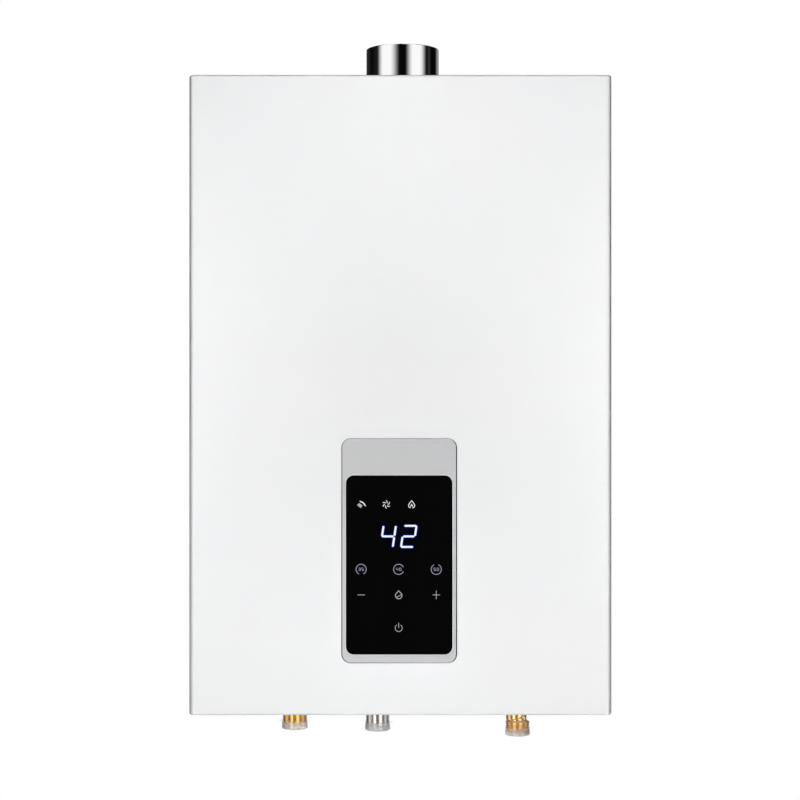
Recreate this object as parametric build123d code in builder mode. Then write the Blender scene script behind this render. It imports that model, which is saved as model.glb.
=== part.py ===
from build123d import *
import os

# A wall-hung instantaneous gas water heater with a fan-assisted flue and a touch panel.
# Millimetres, +Z up. The wall is the plane Y = 0 and the front faces -Y.
# The origin is the centre of the four wall holes. A depth is a distance in front of the wall.

os.makedirs("parts", exist_ok=True)

# Clearances shared by every fit
SLIP = 0.3
SNUG = 0.12
RUN = 0.05

# Casing: a folded chassis on the wall and a five-sided cover over it
CASE_WIDTH = 350.0
CASE_HEIGHT = 530.0
CASE_DEPTH = 140.0
COVER_SHEET = 1.0
COVER_GAP = 0.5
COVER_REAR_GAP = 3.0
SIDE_BEND = 4.5
LIP_BEND = 2.0
LIP_FLUE_GAP = 5.0
CHASSIS_SHEET = 1.2
CHASSIS_BEND = 3.0
PLATE_SETBACK = 2.0
FLANGE_DEPTH = 22.0
FLANGE_END_MARGIN = 35.0

# Cover screws, two through each lip
COVER_SCREW_SPACING = 220.0
COVER_SCREW_DIAMETER = 4.0
COVER_SCREW_LENGTH = 8.0
COVER_SCREW_HEAD_DIAMETER = 8.0
COVER_SCREW_HEAD_HEIGHT = 1.8
COVER_SCREW_TAPER = 20.0
COVER_SCREW_MARGIN = 6.0

# Wall ears and the two pressed stiffening beads of the back
EAR_WIDTH = 120.0
EAR_REACH = 20.0
EAR_ROOT = 14.0
EAR_CORNER = 6.0
WALL_HOLE_SPACING = 80.0
WALL_HOLE_RISE = 10.0
WALL_HOLE_DIAMETER = 8.0
BEAD_SPACING = 80.0
BEAD_END_MARGIN = 65.0
BEAD_WIDTH = 12.0
BEAD_DEPTH = 3.0

# Combustion-air slots in the bottom plate
AIR_SLOT_COUNT = 11
AIR_SLOT_PITCH = 9.0
AIR_SLOT_WIDTH = 3.6
AIR_SLOT_LENGTH = 40.0
AIR_SLOT_X = 44.0
AIR_SLOT_FRONT_GAP = 45.0

# Flue collar, its gasket and screws
FLUE_X = 1.9
FLUE_DIAMETER = 62.6
FLUE_WALL = 1.0
FLUE_RISE = 34.0
FLUE_FLANGE_DIAMETER = 90.0
FLUE_FLANGE_SHEET = 1.2
FLUE_RIM_RADIUS = 0.45
GASKET_THICKNESS = 2.0
GASKET_MARGIN = 1.0
FLUE_SCREW_COUNT = 4
FLUE_SCREW_MARGIN = 6.0
FLUE_SCREW_DIAMETER = 3.5
FLUE_SCREW_LENGTH = 8.0
FLUE_SCREW_HEAD_DIAMETER = 6.5
FLUE_SCREW_HEAD_HEIGHT = 1.8
FLUE_SCREW_TAPER = 15.0

# Smoke hood: a skirt over the heat exchanger and a flat plenum behind the fan
HOOD_TOP_GAP = 20.0
HOOD_HEIGHT = 150.0
HOOD_SKIRT = 16.0
HOOD_SLOPE = 9.0
HOOD_SHEET = 1.0
PLENUM_DEPTH = 34.0

# Exhaust fan: spiral scroll, curved-blade wheel and motor, turning about an axis along Y
FAN_SHEET = 1.0
FAN_FRONT_GAP = 11.0
FAN_BELOW_HOOD_TOP = 53.5
SCROLL_RADIUS = 58.0
SCROLL_STEP = 7.0
OUTLET_WIDTH = 58.0
OUTLET_RISE = 64.0
TONGUE_RADIUS = 4.0
FAN_INLET_DIAMETER = 76.0
SPIGOT_DIAMETER = 56.0
SPIGOT_WALL = 1.0
SPIGOT_PLATE = 1.5
WHEEL_DIAMETER = 100.0
WHEEL_GAP = 3.0
WHEEL_SHEET = 1.5
WHEEL_RING = 10.0
BLADE_COUNT = 24
BLADE_THICKNESS = 1.0
BLADE_CAMBER_RADIUS = 9.0
BLADE_SWEEP = 56.0
HUB_DIAMETER = 15.0
HUB_LENGTH_SHARE = 0.37
SHAFT_DIAMETER = 6.0
MOTOR_DIAMETER = 58.0
MOTOR_LENGTH = 32.0
MOTOR_EDGE = 3.0
MOTOR_CAP_DIAMETER = 24.0
MOTOR_CAP_HEIGHT = 4.0
MOTOR_SHAFT_HOLE_DIAMETER = 16.0
MOTOR_FOOT_COUNT = 3
MOTOR_FOOT_REACH = 6.0
MOTOR_FOOT_WIDTH = 12.0
MOTOR_FOOT_THICKNESS = 2.5
MOTOR_SCREW_DIAMETER = 3.5
MOTOR_SCREW_LENGTH = 6.0
MOTOR_SCREW_HEAD_DIAMETER = 6.5
MOTOR_SCREW_HEAD_HEIGHT = 2.0

# Air-pressure switch on the front of the hood's plenum
SWITCH_DIAMETER = 34.0
SWITCH_THICKNESS = 16.0
SWITCH_EDGE = 3.0
SWITCH_NOZZLE_DIAMETER = 6.0
SWITCH_NOZZLE_LENGTH = 9.0
SWITCH_SIDE_MARGIN = 5.0

# Copper heat exchanger: open box with a fin pack and three water passes near its top
EXCHANGER_WIDTH = 130.0
EXCHANGER_BACK_GAP = 12.0
EXCHANGER_FRONT_GAP = 32.0
EXCHANGER_SHEET = 1.0
EXCHANGER_LIP = 5.0
TUBE_DIAMETER = 14.0
TUBE_WALL = 1.0
TUBE_PITCH = 24.0
TUBE_DROP = 26.0
TUBE_STUB = 3.0
BEND_LEG = 4.0
FIN_COUNT = 12
FIN_SHEET = 0.8
FIN_HEIGHT = 34.0
FIN_END_MARGIN = 7.0
CUTOUT_DIAMETER = 16.0
CUTOUT_THICKNESS = 7.0
CUTOUT_SPACING = 60.0
CUTOUT_RISE_SHARE = 0.58

# Brackets that carry the exchanger on the back
BRACKET_SHEET = 1.5
BRACKET_HEIGHT_SHARE = 0.64
BRACKET_FOOT = 12.0
BRACKET_REACH = 60.0
BRACKET_TUBE_GAP = 7.0

# Burner: an open frame with a row of flat bars fed by jets from a square manifold
BURNER_HEIGHT = 62.0
BURNER_AIR_GAP = 44.6
BURNER_SHEET = 1.0
BAR_COUNT = 8
BAR_PITCH = 15.0
BAR_WIDTH = 9.0
BAR_TOP_GAP = 8.0
BAR_HEIGHT = 50.0
BAR_THROAT_HEIGHT = 16.0
BAR_CROWN = 3.0
BAR_SHEET = 1.2
BAR_MOUTH_DIAMETER = 6.4
BAR_PORT_COUNT = 7
BAR_PORT_WIDTH = 2.0
BAR_PORT_DEPTH = 4.0
MANIFOLD_SIDE = 14.0
MANIFOLD_WALL = 2.0
MANIFOLD_END = 6.0
JET_DIAMETER = 5.0
JET_LENGTH = 8.0
JET_TIP = 2.5
JET_TAPER = 25.0
JET_HOLE_SLACK = 1.0

# Spark and flame-sensing electrodes through the front of the exchanger box
ELECTRODE_COUNT = 3
ELECTRODE_PITCH = 16.0
ELECTRODE_RISE = 14.0
CERAMIC_DIAMETER = 7.0
CERAMIC_COLLAR_DIAMETER = 10.0
CERAMIC_COLLAR_LENGTH = 3.0
CERAMIC_OUTSIDE = 9.0
CERAMIC_INSIDE = 9.0
ELECTRODE_WIRE_DIAMETER = 2.0
ELECTRODE_WIRE_LENGTH = 24.0

# Pipe connectors below the casing, G 1/2 external threads
THREAD_DIAMETER = 20.955
THREAD_CHAMFER = 1.0
CONNECTOR_BORE = 12.0
CONNECTOR_FLANGE_DIAMETER = 36.0
CONNECTOR_FLANGE_THICKNESS = 3.0
CONNECTOR_SCREW_MARGIN = 3.5
CONNECTOR_SCREW_DIAMETER = 3.5
CONNECTOR_SCREW_LENGTH = 7.0
CONNECTOR_SCREW_HEAD_DIAMETER = 5.5
CONNECTOR_SCREW_HEAD_HEIGHT = 1.8
SOCKET_WALL = 2.0
SOCKET_HEIGHT = 14.0
SOCKET_DEPTH = 9.0
HOT_X = -90.5
HOT_REACH = 19.3
GAS_X = -20.0
GAS_REACH = 27.6
COLD_X = 103.4
COLD_REACH = 33.6
COLD_THREAD_LENGTH = 10.7
COLD_NECK_DIAMETER = 15.0
COLD_BORE = 11.0
SHOULDER_DIAMETER = 20.0
SHOULDER_DROP = 17.0
SHOULDER_TILT = 24.0

# Push-on dust caps with a pull tab
CAP_WALL = 0.45
CAP_FLOOR = 0.8
CAP_HEIGHT = 7.2
CAP_EDGE = 0.8
CAP_TAB_LENGTH = 2.6
CAP_TAB_WIDTH = 6.0
CAP_TAB_THICKNESS = 0.9

# Water pipes
PIPE_DIAMETER = 14.0
PIPE_WALL = 1.0
PIPE_BEND = 15.0

# Flow sensor in the cold line: strainer, turbine in a brass housing, pickup
SENSOR_DIAMETER = 32.0
SENSOR_HEIGHT = 46.0
SENSOR_CHAMBER_DIAMETER = 23.0
SENSOR_CHAMBER_HEIGHT = 20.0
SPIDER_BAR = 3.0
SPIDER_HUB_DIAMETER = 6.0
SPIDER_THICKNESS = 2.5
TURBINE_DIAMETER = 21.6
TURBINE_HEIGHT = 12.0
TURBINE_HUB_DIAMETER = 7.0
TURBINE_AXLE_DIAMETER = 2.4
TURBINE_BLADES = 6
TURBINE_BLADE_THICKNESS = 1.2
STRAINER_LENGTH = 15.0
STRAINER_WALL = 0.8
STRAINER_LIP = 1.0
STRAINER_LIP_LENGTH = 1.5
PICKUP_WIDTH = 14.0
PICKUP_HEIGHT = 16.0
PICKUP_THICKNESS = 8.0

# Gas valve block with a shut-off coil and a modulating coil
VALVE_WIDTH = 44.0
VALVE_HEIGHT = 44.0
VALVE_BACK_MARGIN = 20.0
VALVE_FRONT_MARGIN = 8.0
VALVE_CORNER = 5.0
VALVE_EDGE = 1.5
RISER_DIAMETER = 14.0
RISER_WALL = 1.2
COIL_DIAMETER = 32.0
COIL_HEIGHT = 36.0
COIL_EDGE = 2.0
COIL_PITCH = 35.0
COIL_CAP_SHEET = 3.0
PLUNGER_DIAMETER = 10.0
PLUNGER_SEAT_DEPTH = 10.0
PLUNGER_TRAVEL = 3.0
PLUNGER_HEAD_ROOM = 1.0

# Electrics: control box on the left of the back, transformer and igniter on the right
BOX_WIDTH = 60.0
BOX_HEIGHT = 150.0
BOX_DEPTH = 38.0
BOX_WALL = 2.0
BOX_CORNER = 4.0
BOX_LID = 2.0
BOX_SIDE_MARGIN = 6.0
BOX_Z = -40.0
POST_DIAMETER = 6.0
POST_HEIGHT = 5.0
POST_INSET = 5.0
BOARD_THICKNESS = 1.6
BOARD_EDGE_GAP = 1.0
RELAY_COUNT = 4
RELAY_PITCH = 26.0
RELAY_WIDTH = 18.0
RELAY_LENGTH = 16.0
RELAY_HEIGHT = 15.0
CORE_WIDTH = 46.0
CORE_HEIGHT = 40.0
CORE_DEPTH = 18.0
WINDING_MARGIN = 8.0
WINDING_PROUD = 9.0
WINDING_CORNER = 3.0
CORE_Z = 30.0
IGNITER_WIDTH = 40.0
IGNITER_HEIGHT = 54.0
IGNITER_DEPTH = 26.0
IGNITER_EDGE = 3.0
IGNITER_TOWER_DIAMETER = 9.0
IGNITER_TOWER_HEIGHT = 11.0
IGNITER_TOWER_TAPER = 6.0
IGNITER_TOWER_SPACING = 20.0
IGNITER_Z = -80.0
ELECTRICS_SIDE_MARGIN = 8.0
GLAND_SIDE_GAP = 35.0
GLAND_DEPTH = 40.0
GLAND_DIAMETER = 16.0
GLAND_BORE = 7.4
GLAND_HEAD_DIAMETER = 21.0
GLAND_HEAD_HEIGHT = 6.0
GLAND_STEM = 9.0
GLAND_EDGE = 1.5

# Touch panel in the window of the cover
PANEL_SHIFT = -1.0
PANEL_FROM_BOTTOM = 43.4
BEZEL_WIDTH = 95.6
BEZEL_HEIGHT = 186.0
BEZEL_CORNER = 7.8
BEZEL_PROUD = 4.0
BEZEL_EDGE = 1.2
BEZEL_OVERLAP = 3.0
BEZEL_WALL = 2.0
BEZEL_SIDE_RIM = 4.0
BEZEL_TOP_RIM = 30.9
BEZEL_BOTTOM_RIM = 7.5
SKIRT_DEPTH = 10.0
LENS_CORNER = 6.2
LENS_THICKNESS = 3.0
LENS_SINK = 0.3
LENS_EDGE = 0.4
LENS_LEDGE = 3.0
LEDGE_THICKNESS = 1.2
FILM_THICKNESS = 0.4
HOUSING_WALL = 1.5
HOUSING_POST = 1.5
DIGITS_WIDTH = 46.0
DIGITS_HEIGHT = 30.0
DIGITS_DROP = 50.0

# Levels and places that follow from the sizes above
case_top = CASE_HEIGHT / 2
plate_face = case_top - COVER_SHEET - COVER_GAP
plate_inner = plate_face - CHASSIS_SHEET
plate_depth = CASE_DEPTH - COVER_SHEET - PLATE_SETBACK
chassis_width = CASE_WIDTH - 2 * (COVER_SHEET + COVER_GAP)
cover_inner_depth = CASE_DEPTH - COVER_SHEET
wall_hole_rise = CASE_HEIGHT + 2 * WALL_HOLE_RISE
bead_length = CASE_HEIGHT - 2 * BEAD_END_MARGIN
gasket_top = plate_face + GASKET_THICKNESS
flue_flange_top = gasket_top + FLUE_FLANGE_SHEET
flue_bore = FLUE_DIAMETER - 2 * FLUE_WALL
flue_screw_radius = FLUE_FLANGE_DIAMETER / 2 - FLUE_SCREW_MARGIN
gland_x = GLAND_SIDE_GAP - CASE_WIDTH / 2

exchanger_front = CASE_DEPTH - EXCHANGER_FRONT_GAP
exchanger_depth = exchanger_front - EXCHANGER_BACK_GAP
exchanger_middle = EXCHANGER_BACK_GAP + exchanger_depth / 2
hood_top = plate_inner - HOOD_TOP_GAP
exchanger_top = hood_top - HOOD_HEIGHT
valve_top = CONNECTOR_FLANGE_THICKNESS + VALVE_HEIGHT - plate_inner
burner_bottom = valve_top + COIL_HEIGHT + BURNER_AIR_GAP
exchanger_bottom = burner_bottom + BURNER_HEIGHT
exchanger_height = exchanger_top - exchanger_bottom
tube_level = exchanger_top - TUBE_DROP
tube_depths = [exchanger_middle - TUBE_PITCH, exchanger_middle, exchanger_middle + TUBE_PITCH]
cold_depth = tube_depths[0]
hot_depth = tube_depths[-1]

hood_back = EXCHANGER_BACK_GAP - EXCHANGER_LIP
hood_width = EXCHANGER_WIDTH + 2 * EXCHANGER_LIP
fan_back = hood_back + PLENUM_DEPTH
fan_front = cover_inner_depth - FAN_FRONT_GAP - MOTOR_CAP_HEIGHT - MOTOR_LENGTH - FAN_SHEET
fan_depth = fan_front - fan_back
flue_depth = fan_back + fan_depth / 2
lip_depth = CASE_DEPTH - flue_depth - FLUE_FLANGE_DIAMETER / 2 - LIP_FLUE_GAP
lip_screw_depth = CASE_DEPTH - lip_depth + COVER_SCREW_MARGIN
half_step = SCROLL_STEP / 2
scroll_right = FLUE_X + OUTLET_WIDTH / 2
scroll_left = scroll_right - OUTLET_WIDTH
fan_x = scroll_right - half_step - 2 * SCROLL_STEP - SCROLL_RADIUS
fan_z = hood_top - FAN_BELOW_HOOD_TOP
outlet_top = fan_z + OUTLET_RISE
motor_back = fan_front + FAN_SHEET
motor_foot_radius = MOTOR_DIAMETER / 2 + MOTOR_FOOT_REACH

riser_depth = exchanger_front + MANIFOLD_SIDE / 2
gas_depth = riser_depth - 2 * COIL_PITCH
flange_top = -plate_inner + CONNECTOR_FLANGE_THICKNESS
connector_screw_span = CONNECTOR_FLANGE_DIAMETER - 2 * CONNECTOR_SCREW_MARGIN
socket_radius = PIPE_DIAMETER / 2 + SNUG + SOCKET_WALL
socket_top = flange_top + SOCKET_HEIGHT
connector_places = [(HOT_X, -hot_depth), (GAS_X, -gas_depth), (COLD_X, -cold_depth)]
connector_cores = [THREAD_DIAMETER, THREAD_DIAMETER, SHOULDER_DIAMETER]

panel_z = -case_top + PANEL_FROM_BOTTOM + BEZEL_HEIGHT / 2
bezel_face = CASE_DEPTH + BEZEL_PROUD
window_width = BEZEL_WIDTH - 2 * BEZEL_OVERLAP
window_height = BEZEL_HEIGHT - 2 * BEZEL_OVERLAP
window_corner = BEZEL_CORNER - BEZEL_OVERLAP
skirt_width = window_width - 2 * SLIP
skirt_height = window_height - 2 * SLIP
skirt_corner = window_corner - SLIP
skirt_back = CASE_DEPTH - SKIRT_DEPTH
lens_width = BEZEL_WIDTH - 2 * BEZEL_SIDE_RIM
lens_height = BEZEL_HEIGHT - BEZEL_TOP_RIM - BEZEL_BOTTOM_RIM
lens_z = panel_z + (BEZEL_BOTTOM_RIM - BEZEL_TOP_RIM) / 2
lens_back = bezel_face - LENS_SINK - LENS_THICKNESS
ledge_back = lens_back - LEDGE_THICKNESS
film_back = lens_back - FILM_THICKNESS
housing_floor = skirt_back - SLIP


def level(height):
    """Horizontal plane at a height."""
    return Plane.XY.offset(height)


def facing(depth):
    """Upright plane parallel to the wall, looking out to the front."""
    return Plane.XZ.offset(depth)


def upright(x, depth):
    """Upright plane through a vertical axis, for turned profiles."""
    return Plane(origin=(x, -depth, 0), x_dir=(1, 0, 0), z_dir=(0, -1, 0))


def vertical_axis(x, depth):
    return Axis((x, -depth, 0), (0, 0, 1))


# Back chassis: one sheet folded into a back with a top and a bottom plate
with BuildPart() as back_chassis:
    with BuildLine(Plane.YZ.offset(chassis_width / 2)):
        FilletPolyline(
            (-plate_depth, plate_face),
            (0, plate_face),
            (0, -plate_face),
            (-plate_depth, -plate_face),
            radius=CHASSIS_BEND,
        )
    make_brake_formed(CHASSIS_SHEET, chassis_width, side=Side.RIGHT)
    # Side flanges that the cover slides over
    with BuildSketch(facing(CHASSIS_SHEET)):
        with GridLocations(chassis_width - CHASSIS_SHEET, 0, 2, 1):
            Rectangle(CHASSIS_SHEET, CASE_HEIGHT - 2 * FLANGE_END_MARGIN)
    extrude(amount=FLANGE_DEPTH)
    # Wall ears
    with BuildSketch(Plane.XZ):
        with GridLocations(0, CASE_HEIGHT + EAR_REACH - EAR_ROOT, 1, 2):
            RectangleRounded(EAR_WIDTH, EAR_REACH + EAR_ROOT, EAR_CORNER)
    extrude(amount=CHASSIS_SHEET)
    with BuildSketch(Plane.XZ):
        with GridLocations(WALL_HOLE_SPACING, wall_hole_rise, 2, 2):
            Circle(WALL_HOLE_DIAMETER / 2)
    extrude(amount=CHASSIS_SHEET, mode=Mode.SUBTRACT)
    # Pressed beads: raised inside, hollow behind
    with BuildSketch(facing(CHASSIS_SHEET)):
        with GridLocations(BEAD_SPACING, 0, 2, 1):
            SlotOverall(bead_length, BEAD_WIDTH, rotation=90)
    extrude(amount=BEAD_DEPTH)
    with BuildSketch(Plane.XZ):
        with GridLocations(BEAD_SPACING, 0, 2, 1):
            SlotOverall(bead_length - 2 * CHASSIS_SHEET, BEAD_WIDTH - 2 * CHASSIS_SHEET, rotation=90)
    extrude(amount=BEAD_DEPTH, mode=Mode.SUBTRACT)
    # Openings of the top plate
    with BuildSketch(level(plate_inner)):
        with Locations((FLUE_X, -flue_depth)):
            Circle(SPIGOT_DIAMETER / 2 + SLIP)
            with PolarLocations(flue_screw_radius, FLUE_SCREW_COUNT, 45):
                Circle(FLUE_SCREW_DIAMETER / 2 + SNUG)
    extrude(amount=CHASSIS_SHEET, mode=Mode.SUBTRACT)
    # Openings of the bottom plate
    with BuildSketch(level(-plate_face)):
        for place, core in zip(connector_places, connector_cores):
            with Locations(place):
                Circle(core / 2 + SLIP)
                with GridLocations(connector_screw_span, 0, 2, 1):
                    Circle(CONNECTOR_SCREW_DIAMETER / 2 + SNUG)
        with Locations((gland_x, -GLAND_DEPTH)):
            Circle(GLAND_DIAMETER / 2 + SNUG)
        with Locations((AIR_SLOT_X, AIR_SLOT_FRONT_GAP - CASE_DEPTH)):
            with GridLocations(AIR_SLOT_PITCH, 0, AIR_SLOT_COUNT, 1):
                SlotOverall(AIR_SLOT_LENGTH, AIR_SLOT_WIDTH, rotation=90)
    extrude(amount=CHASSIS_SHEET, mode=Mode.SUBTRACT)
    # Cover screws bite into both plates
    with BuildSketch(Plane.XY):
        with Locations((0, -lip_screw_depth)):
            with GridLocations(COVER_SCREW_SPACING, 0, 2, 1):
                Circle(COVER_SCREW_DIAMETER / 2 + SNUG)
    extrude(amount=case_top, both=True, mode=Mode.SUBTRACT)
back_chassis.part.label = "back_chassis"
export_step(back_chassis.part, "parts/back_chassis.step")

# Front cover: pressed pan with full-depth sides and short lips at its ends
with BuildPart() as front_cover:
    with BuildSketch(level(-case_top)) as plan:
        with Locations((0, -(CASE_DEPTH + COVER_REAR_GAP) / 2)):
            Rectangle(CASE_WIDTH, CASE_DEPTH - COVER_REAR_GAP)
        fillet(plan.vertices().group_by(Axis.Y)[0], SIDE_BEND)
    extrude(amount=CASE_HEIGHT)
    ends = front_cover.edges().group_by(Axis.Z)[0] + front_cover.edges().group_by(Axis.Z)[-1]
    fillet(ends.sort_by(Axis.Y)[:-2], LIP_BEND)
    offset(amount=-COVER_SHEET, openings=front_cover.faces().sort_by(Axis.Y)[-1])
    # Ends stay open behind the lips, up to the bend of the side walls
    with BuildSketch(Plane.XY):
        with Locations((0, -(CASE_DEPTH - lip_depth) / 2)):
            Rectangle(CASE_WIDTH - 2 * LIP_BEND, CASE_DEPTH - lip_depth)
    extrude(amount=case_top, both=True, mode=Mode.SUBTRACT)
    # Window of the touch panel
    with BuildSketch(facing(cover_inner_depth)):
        with Locations((PANEL_SHIFT, panel_z)):
            RectangleRounded(window_width, window_height, window_corner)
    extrude(amount=COVER_SHEET, mode=Mode.SUBTRACT)
    # Screw holes of both lips
    with BuildSketch(Plane.XY):
        with Locations((0, -lip_screw_depth)):
            with GridLocations(COVER_SCREW_SPACING, 0, 2, 1):
                Circle(COVER_SCREW_DIAMETER / 2 + SLIP)
    extrude(amount=case_top, both=True, mode=Mode.SUBTRACT)
front_cover.part.label = "front_cover"
export_step(front_cover.part, "parts/front_cover.step")

# Cover screws: pan heads on the lips
with BuildPart() as cover_screws:
    for side in (1, -1):
        with BuildSketch(level(side * case_top)):
            with Locations((0, -lip_screw_depth)):
                with GridLocations(COVER_SCREW_SPACING, 0, 2, 1):
                    Circle(COVER_SCREW_HEAD_DIAMETER / 2)
        extrude(amount=side * COVER_SCREW_HEAD_HEIGHT, taper=COVER_SCREW_TAPER)
        with BuildSketch(level(side * case_top)):
            with Locations((0, -lip_screw_depth)):
                with GridLocations(COVER_SCREW_SPACING, 0, 2, 1):
                    Circle(COVER_SCREW_DIAMETER / 2)
        extrude(amount=-side * COVER_SCREW_LENGTH)
cover_screws.part.label = "cover_screws"
export_step(cover_screws.part, "parts/cover_screws.step")

# Flue gasket between the collar and the top plate
with BuildPart() as flue_gasket:
    with BuildSketch(level(plate_face)):
        with Locations((FLUE_X, -flue_depth)):
            Circle(FLUE_FLANGE_DIAMETER / 2 - GASKET_MARGIN)
            Circle(SPIGOT_DIAMETER / 2 + SLIP, mode=Mode.SUBTRACT)
            with PolarLocations(flue_screw_radius, FLUE_SCREW_COUNT, 45):
                Circle(FLUE_SCREW_DIAMETER / 2 + SNUG, mode=Mode.SUBTRACT)
    extrude(amount=GASKET_THICKNESS)
flue_gasket.part.label = "flue_gasket"
export_step(flue_gasket.part, "parts/flue_gasket.step")

# Flue collar: drawn stainless tube with a bolting flange, the duct slips into its bore
with BuildPart() as flue_collar:
    with BuildSketch(level(gasket_top)):
        with Locations((FLUE_X, -flue_depth)):
            Circle(FLUE_FLANGE_DIAMETER / 2)
            Circle(flue_bore / 2, mode=Mode.SUBTRACT)
            with PolarLocations(flue_screw_radius, FLUE_SCREW_COUNT, 45):
                Circle(FLUE_SCREW_DIAMETER / 2 + SLIP, mode=Mode.SUBTRACT)
    extrude(amount=FLUE_FLANGE_SHEET)
    with BuildSketch(level(flue_flange_top)):
        with Locations((FLUE_X, -flue_depth)):
            Circle(FLUE_DIAMETER / 2)
            Circle(flue_bore / 2, mode=Mode.SUBTRACT)
    extrude(amount=case_top + FLUE_RISE - flue_flange_top)
    fillet(flue_collar.faces().sort_by(Axis.Z)[-1].outer_wire().edges(), FLUE_RIM_RADIUS)
flue_collar.part.label = "flue_collar"
export_step(flue_collar.part, "parts/flue_collar.step")

# Flue screws through flange, gasket and plate
with BuildPart() as flue_screws:
    with BuildSketch(level(flue_flange_top)):
        with Locations((FLUE_X, -flue_depth)):
            with PolarLocations(flue_screw_radius, FLUE_SCREW_COUNT, 45):
                Circle(FLUE_SCREW_HEAD_DIAMETER / 2)
    extrude(amount=FLUE_SCREW_HEAD_HEIGHT, taper=FLUE_SCREW_TAPER)
    with BuildSketch(level(flue_flange_top)):
        with Locations((FLUE_X, -flue_depth)):
            with PolarLocations(flue_screw_radius, FLUE_SCREW_COUNT, 45):
                Circle(FLUE_SCREW_DIAMETER / 2)
    extrude(amount=-FLUE_SCREW_LENGTH)
flue_screws.part.label = "flue_screws"
export_step(flue_screws.part, "parts/flue_screws.step")


# Scroll outline: three quarter arcs whose centres step round a small square, with a straight outlet
scroll_top = fan_z - half_step + SCROLL_RADIUS
with BuildLine() as scroll_outline:
    FilletPolyline(
        (scroll_left, outlet_top),
        (scroll_left, scroll_top),
        (fan_x - half_step, scroll_top),
        radius=TONGUE_RADIUS,
    )
    CenterArc((fan_x - half_step, fan_z - half_step), SCROLL_RADIUS, 90, 90)
    CenterArc((fan_x + half_step, fan_z - half_step), SCROLL_RADIUS + SCROLL_STEP, 180, 90)
    CenterArc((fan_x + half_step, fan_z + half_step), SCROLL_RADIUS + 2 * SCROLL_STEP, 270, 90)
    Polyline((scroll_right, fan_z + half_step), (scroll_right, outlet_top), (scroll_left, outlet_top))

# Smoke hood: skirt on the exchanger, sloped shoulder and a plenum with the fan inlet in its front
with BuildPart() as smoke_hood:
    skirt_front = exchanger_front + EXCHANGER_LIP
    with BuildSketch(Plane.YZ.offset(-hood_width / 2)):
        Polygon(
            (-hood_back, exchanger_top),
            (-skirt_front, exchanger_top),
            (-skirt_front, exchanger_top + HOOD_SKIRT),
            (-fan_back, exchanger_top + HOOD_SKIRT + HOOD_SLOPE),
            (-fan_back, hood_top),
            (-hood_back, hood_top),
            align=None,
        )
    extrude(amount=hood_width)
    offset(amount=-HOOD_SHEET, openings=smoke_hood.faces().sort_by(Axis.Z)[0], kind=Kind.INTERSECTION)
    with BuildSketch(facing(fan_back - HOOD_SHEET)):
        with Locations((fan_x, fan_z)):
            Circle(FAN_INLET_DIAMETER / 2)
    extrude(amount=HOOD_SHEET, mode=Mode.SUBTRACT)
smoke_hood.part.label = "smoke_hood"
export_step(smoke_hood.part, "parts/smoke_hood.step")

# Fan scroll: spiral pan, open at the front and at the outlet
with BuildPart() as fan_scroll:
    with BuildSketch(facing(fan_back)):
        make_face(scroll_outline.edges())
    extrude(amount=fan_depth)
    open_faces = [fan_scroll.faces().sort_by(Axis.Y)[0], fan_scroll.faces().sort_by(Axis.Z)[-1]]
    offset(amount=-FAN_SHEET, openings=open_faces)
    with BuildSketch(facing(fan_back)):
        with Locations((fan_x, fan_z)):
            Circle(FAN_INLET_DIAMETER / 2)
    extrude(amount=FAN_SHEET, mode=Mode.SUBTRACT)
fan_scroll.part.label = "fan_scroll"
export_step(fan_scroll.part, "parts/fan_scroll.step")

# Fan front plate: closes the scroll and carries the motor
with BuildPart() as fan_front_plate:
    with BuildSketch(facing(fan_front)):
        make_face(scroll_outline.edges())
        with Locations((fan_x, fan_z)):
            Circle(MOTOR_SHAFT_HOLE_DIAMETER / 2, mode=Mode.SUBTRACT)
            with PolarLocations(motor_foot_radius, MOTOR_FOOT_COUNT, 90):
                Circle(MOTOR_SCREW_DIAMETER / 2 + SNUG, mode=Mode.SUBTRACT)
    extrude(amount=FAN_SHEET)
fan_front_plate.part.label = "fan_front_plate"
export_step(fan_front_plate.part, "parts/fan_front_plate.step")

# Outlet spigot: plate on the scroll's outlet with a round neck up to the collar
with BuildPart() as outlet_spigot:
    with BuildSketch(level(outlet_top)):
        with Locations((FLUE_X, -(fan_back + fan_front + FAN_SHEET) / 2)):
            Rectangle(OUTLET_WIDTH, fan_depth + FAN_SHEET)
    extrude(amount=SPIGOT_PLATE)
    with BuildSketch(level(outlet_top)):
        with Locations((FLUE_X, -flue_depth)):
            Circle(SPIGOT_DIAMETER / 2)
    extrude(amount=gasket_top - outlet_top)
    with BuildSketch(level(outlet_top)):
        with Locations((FLUE_X, -flue_depth)):
            Circle(SPIGOT_DIAMETER / 2 - SPIGOT_WALL)
    extrude(amount=gasket_top - outlet_top, mode=Mode.SUBTRACT)
outlet_spigot.part.label = "outlet_spigot"
export_step(outlet_spigot.part, "parts/outlet_spigot.step")

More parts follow.
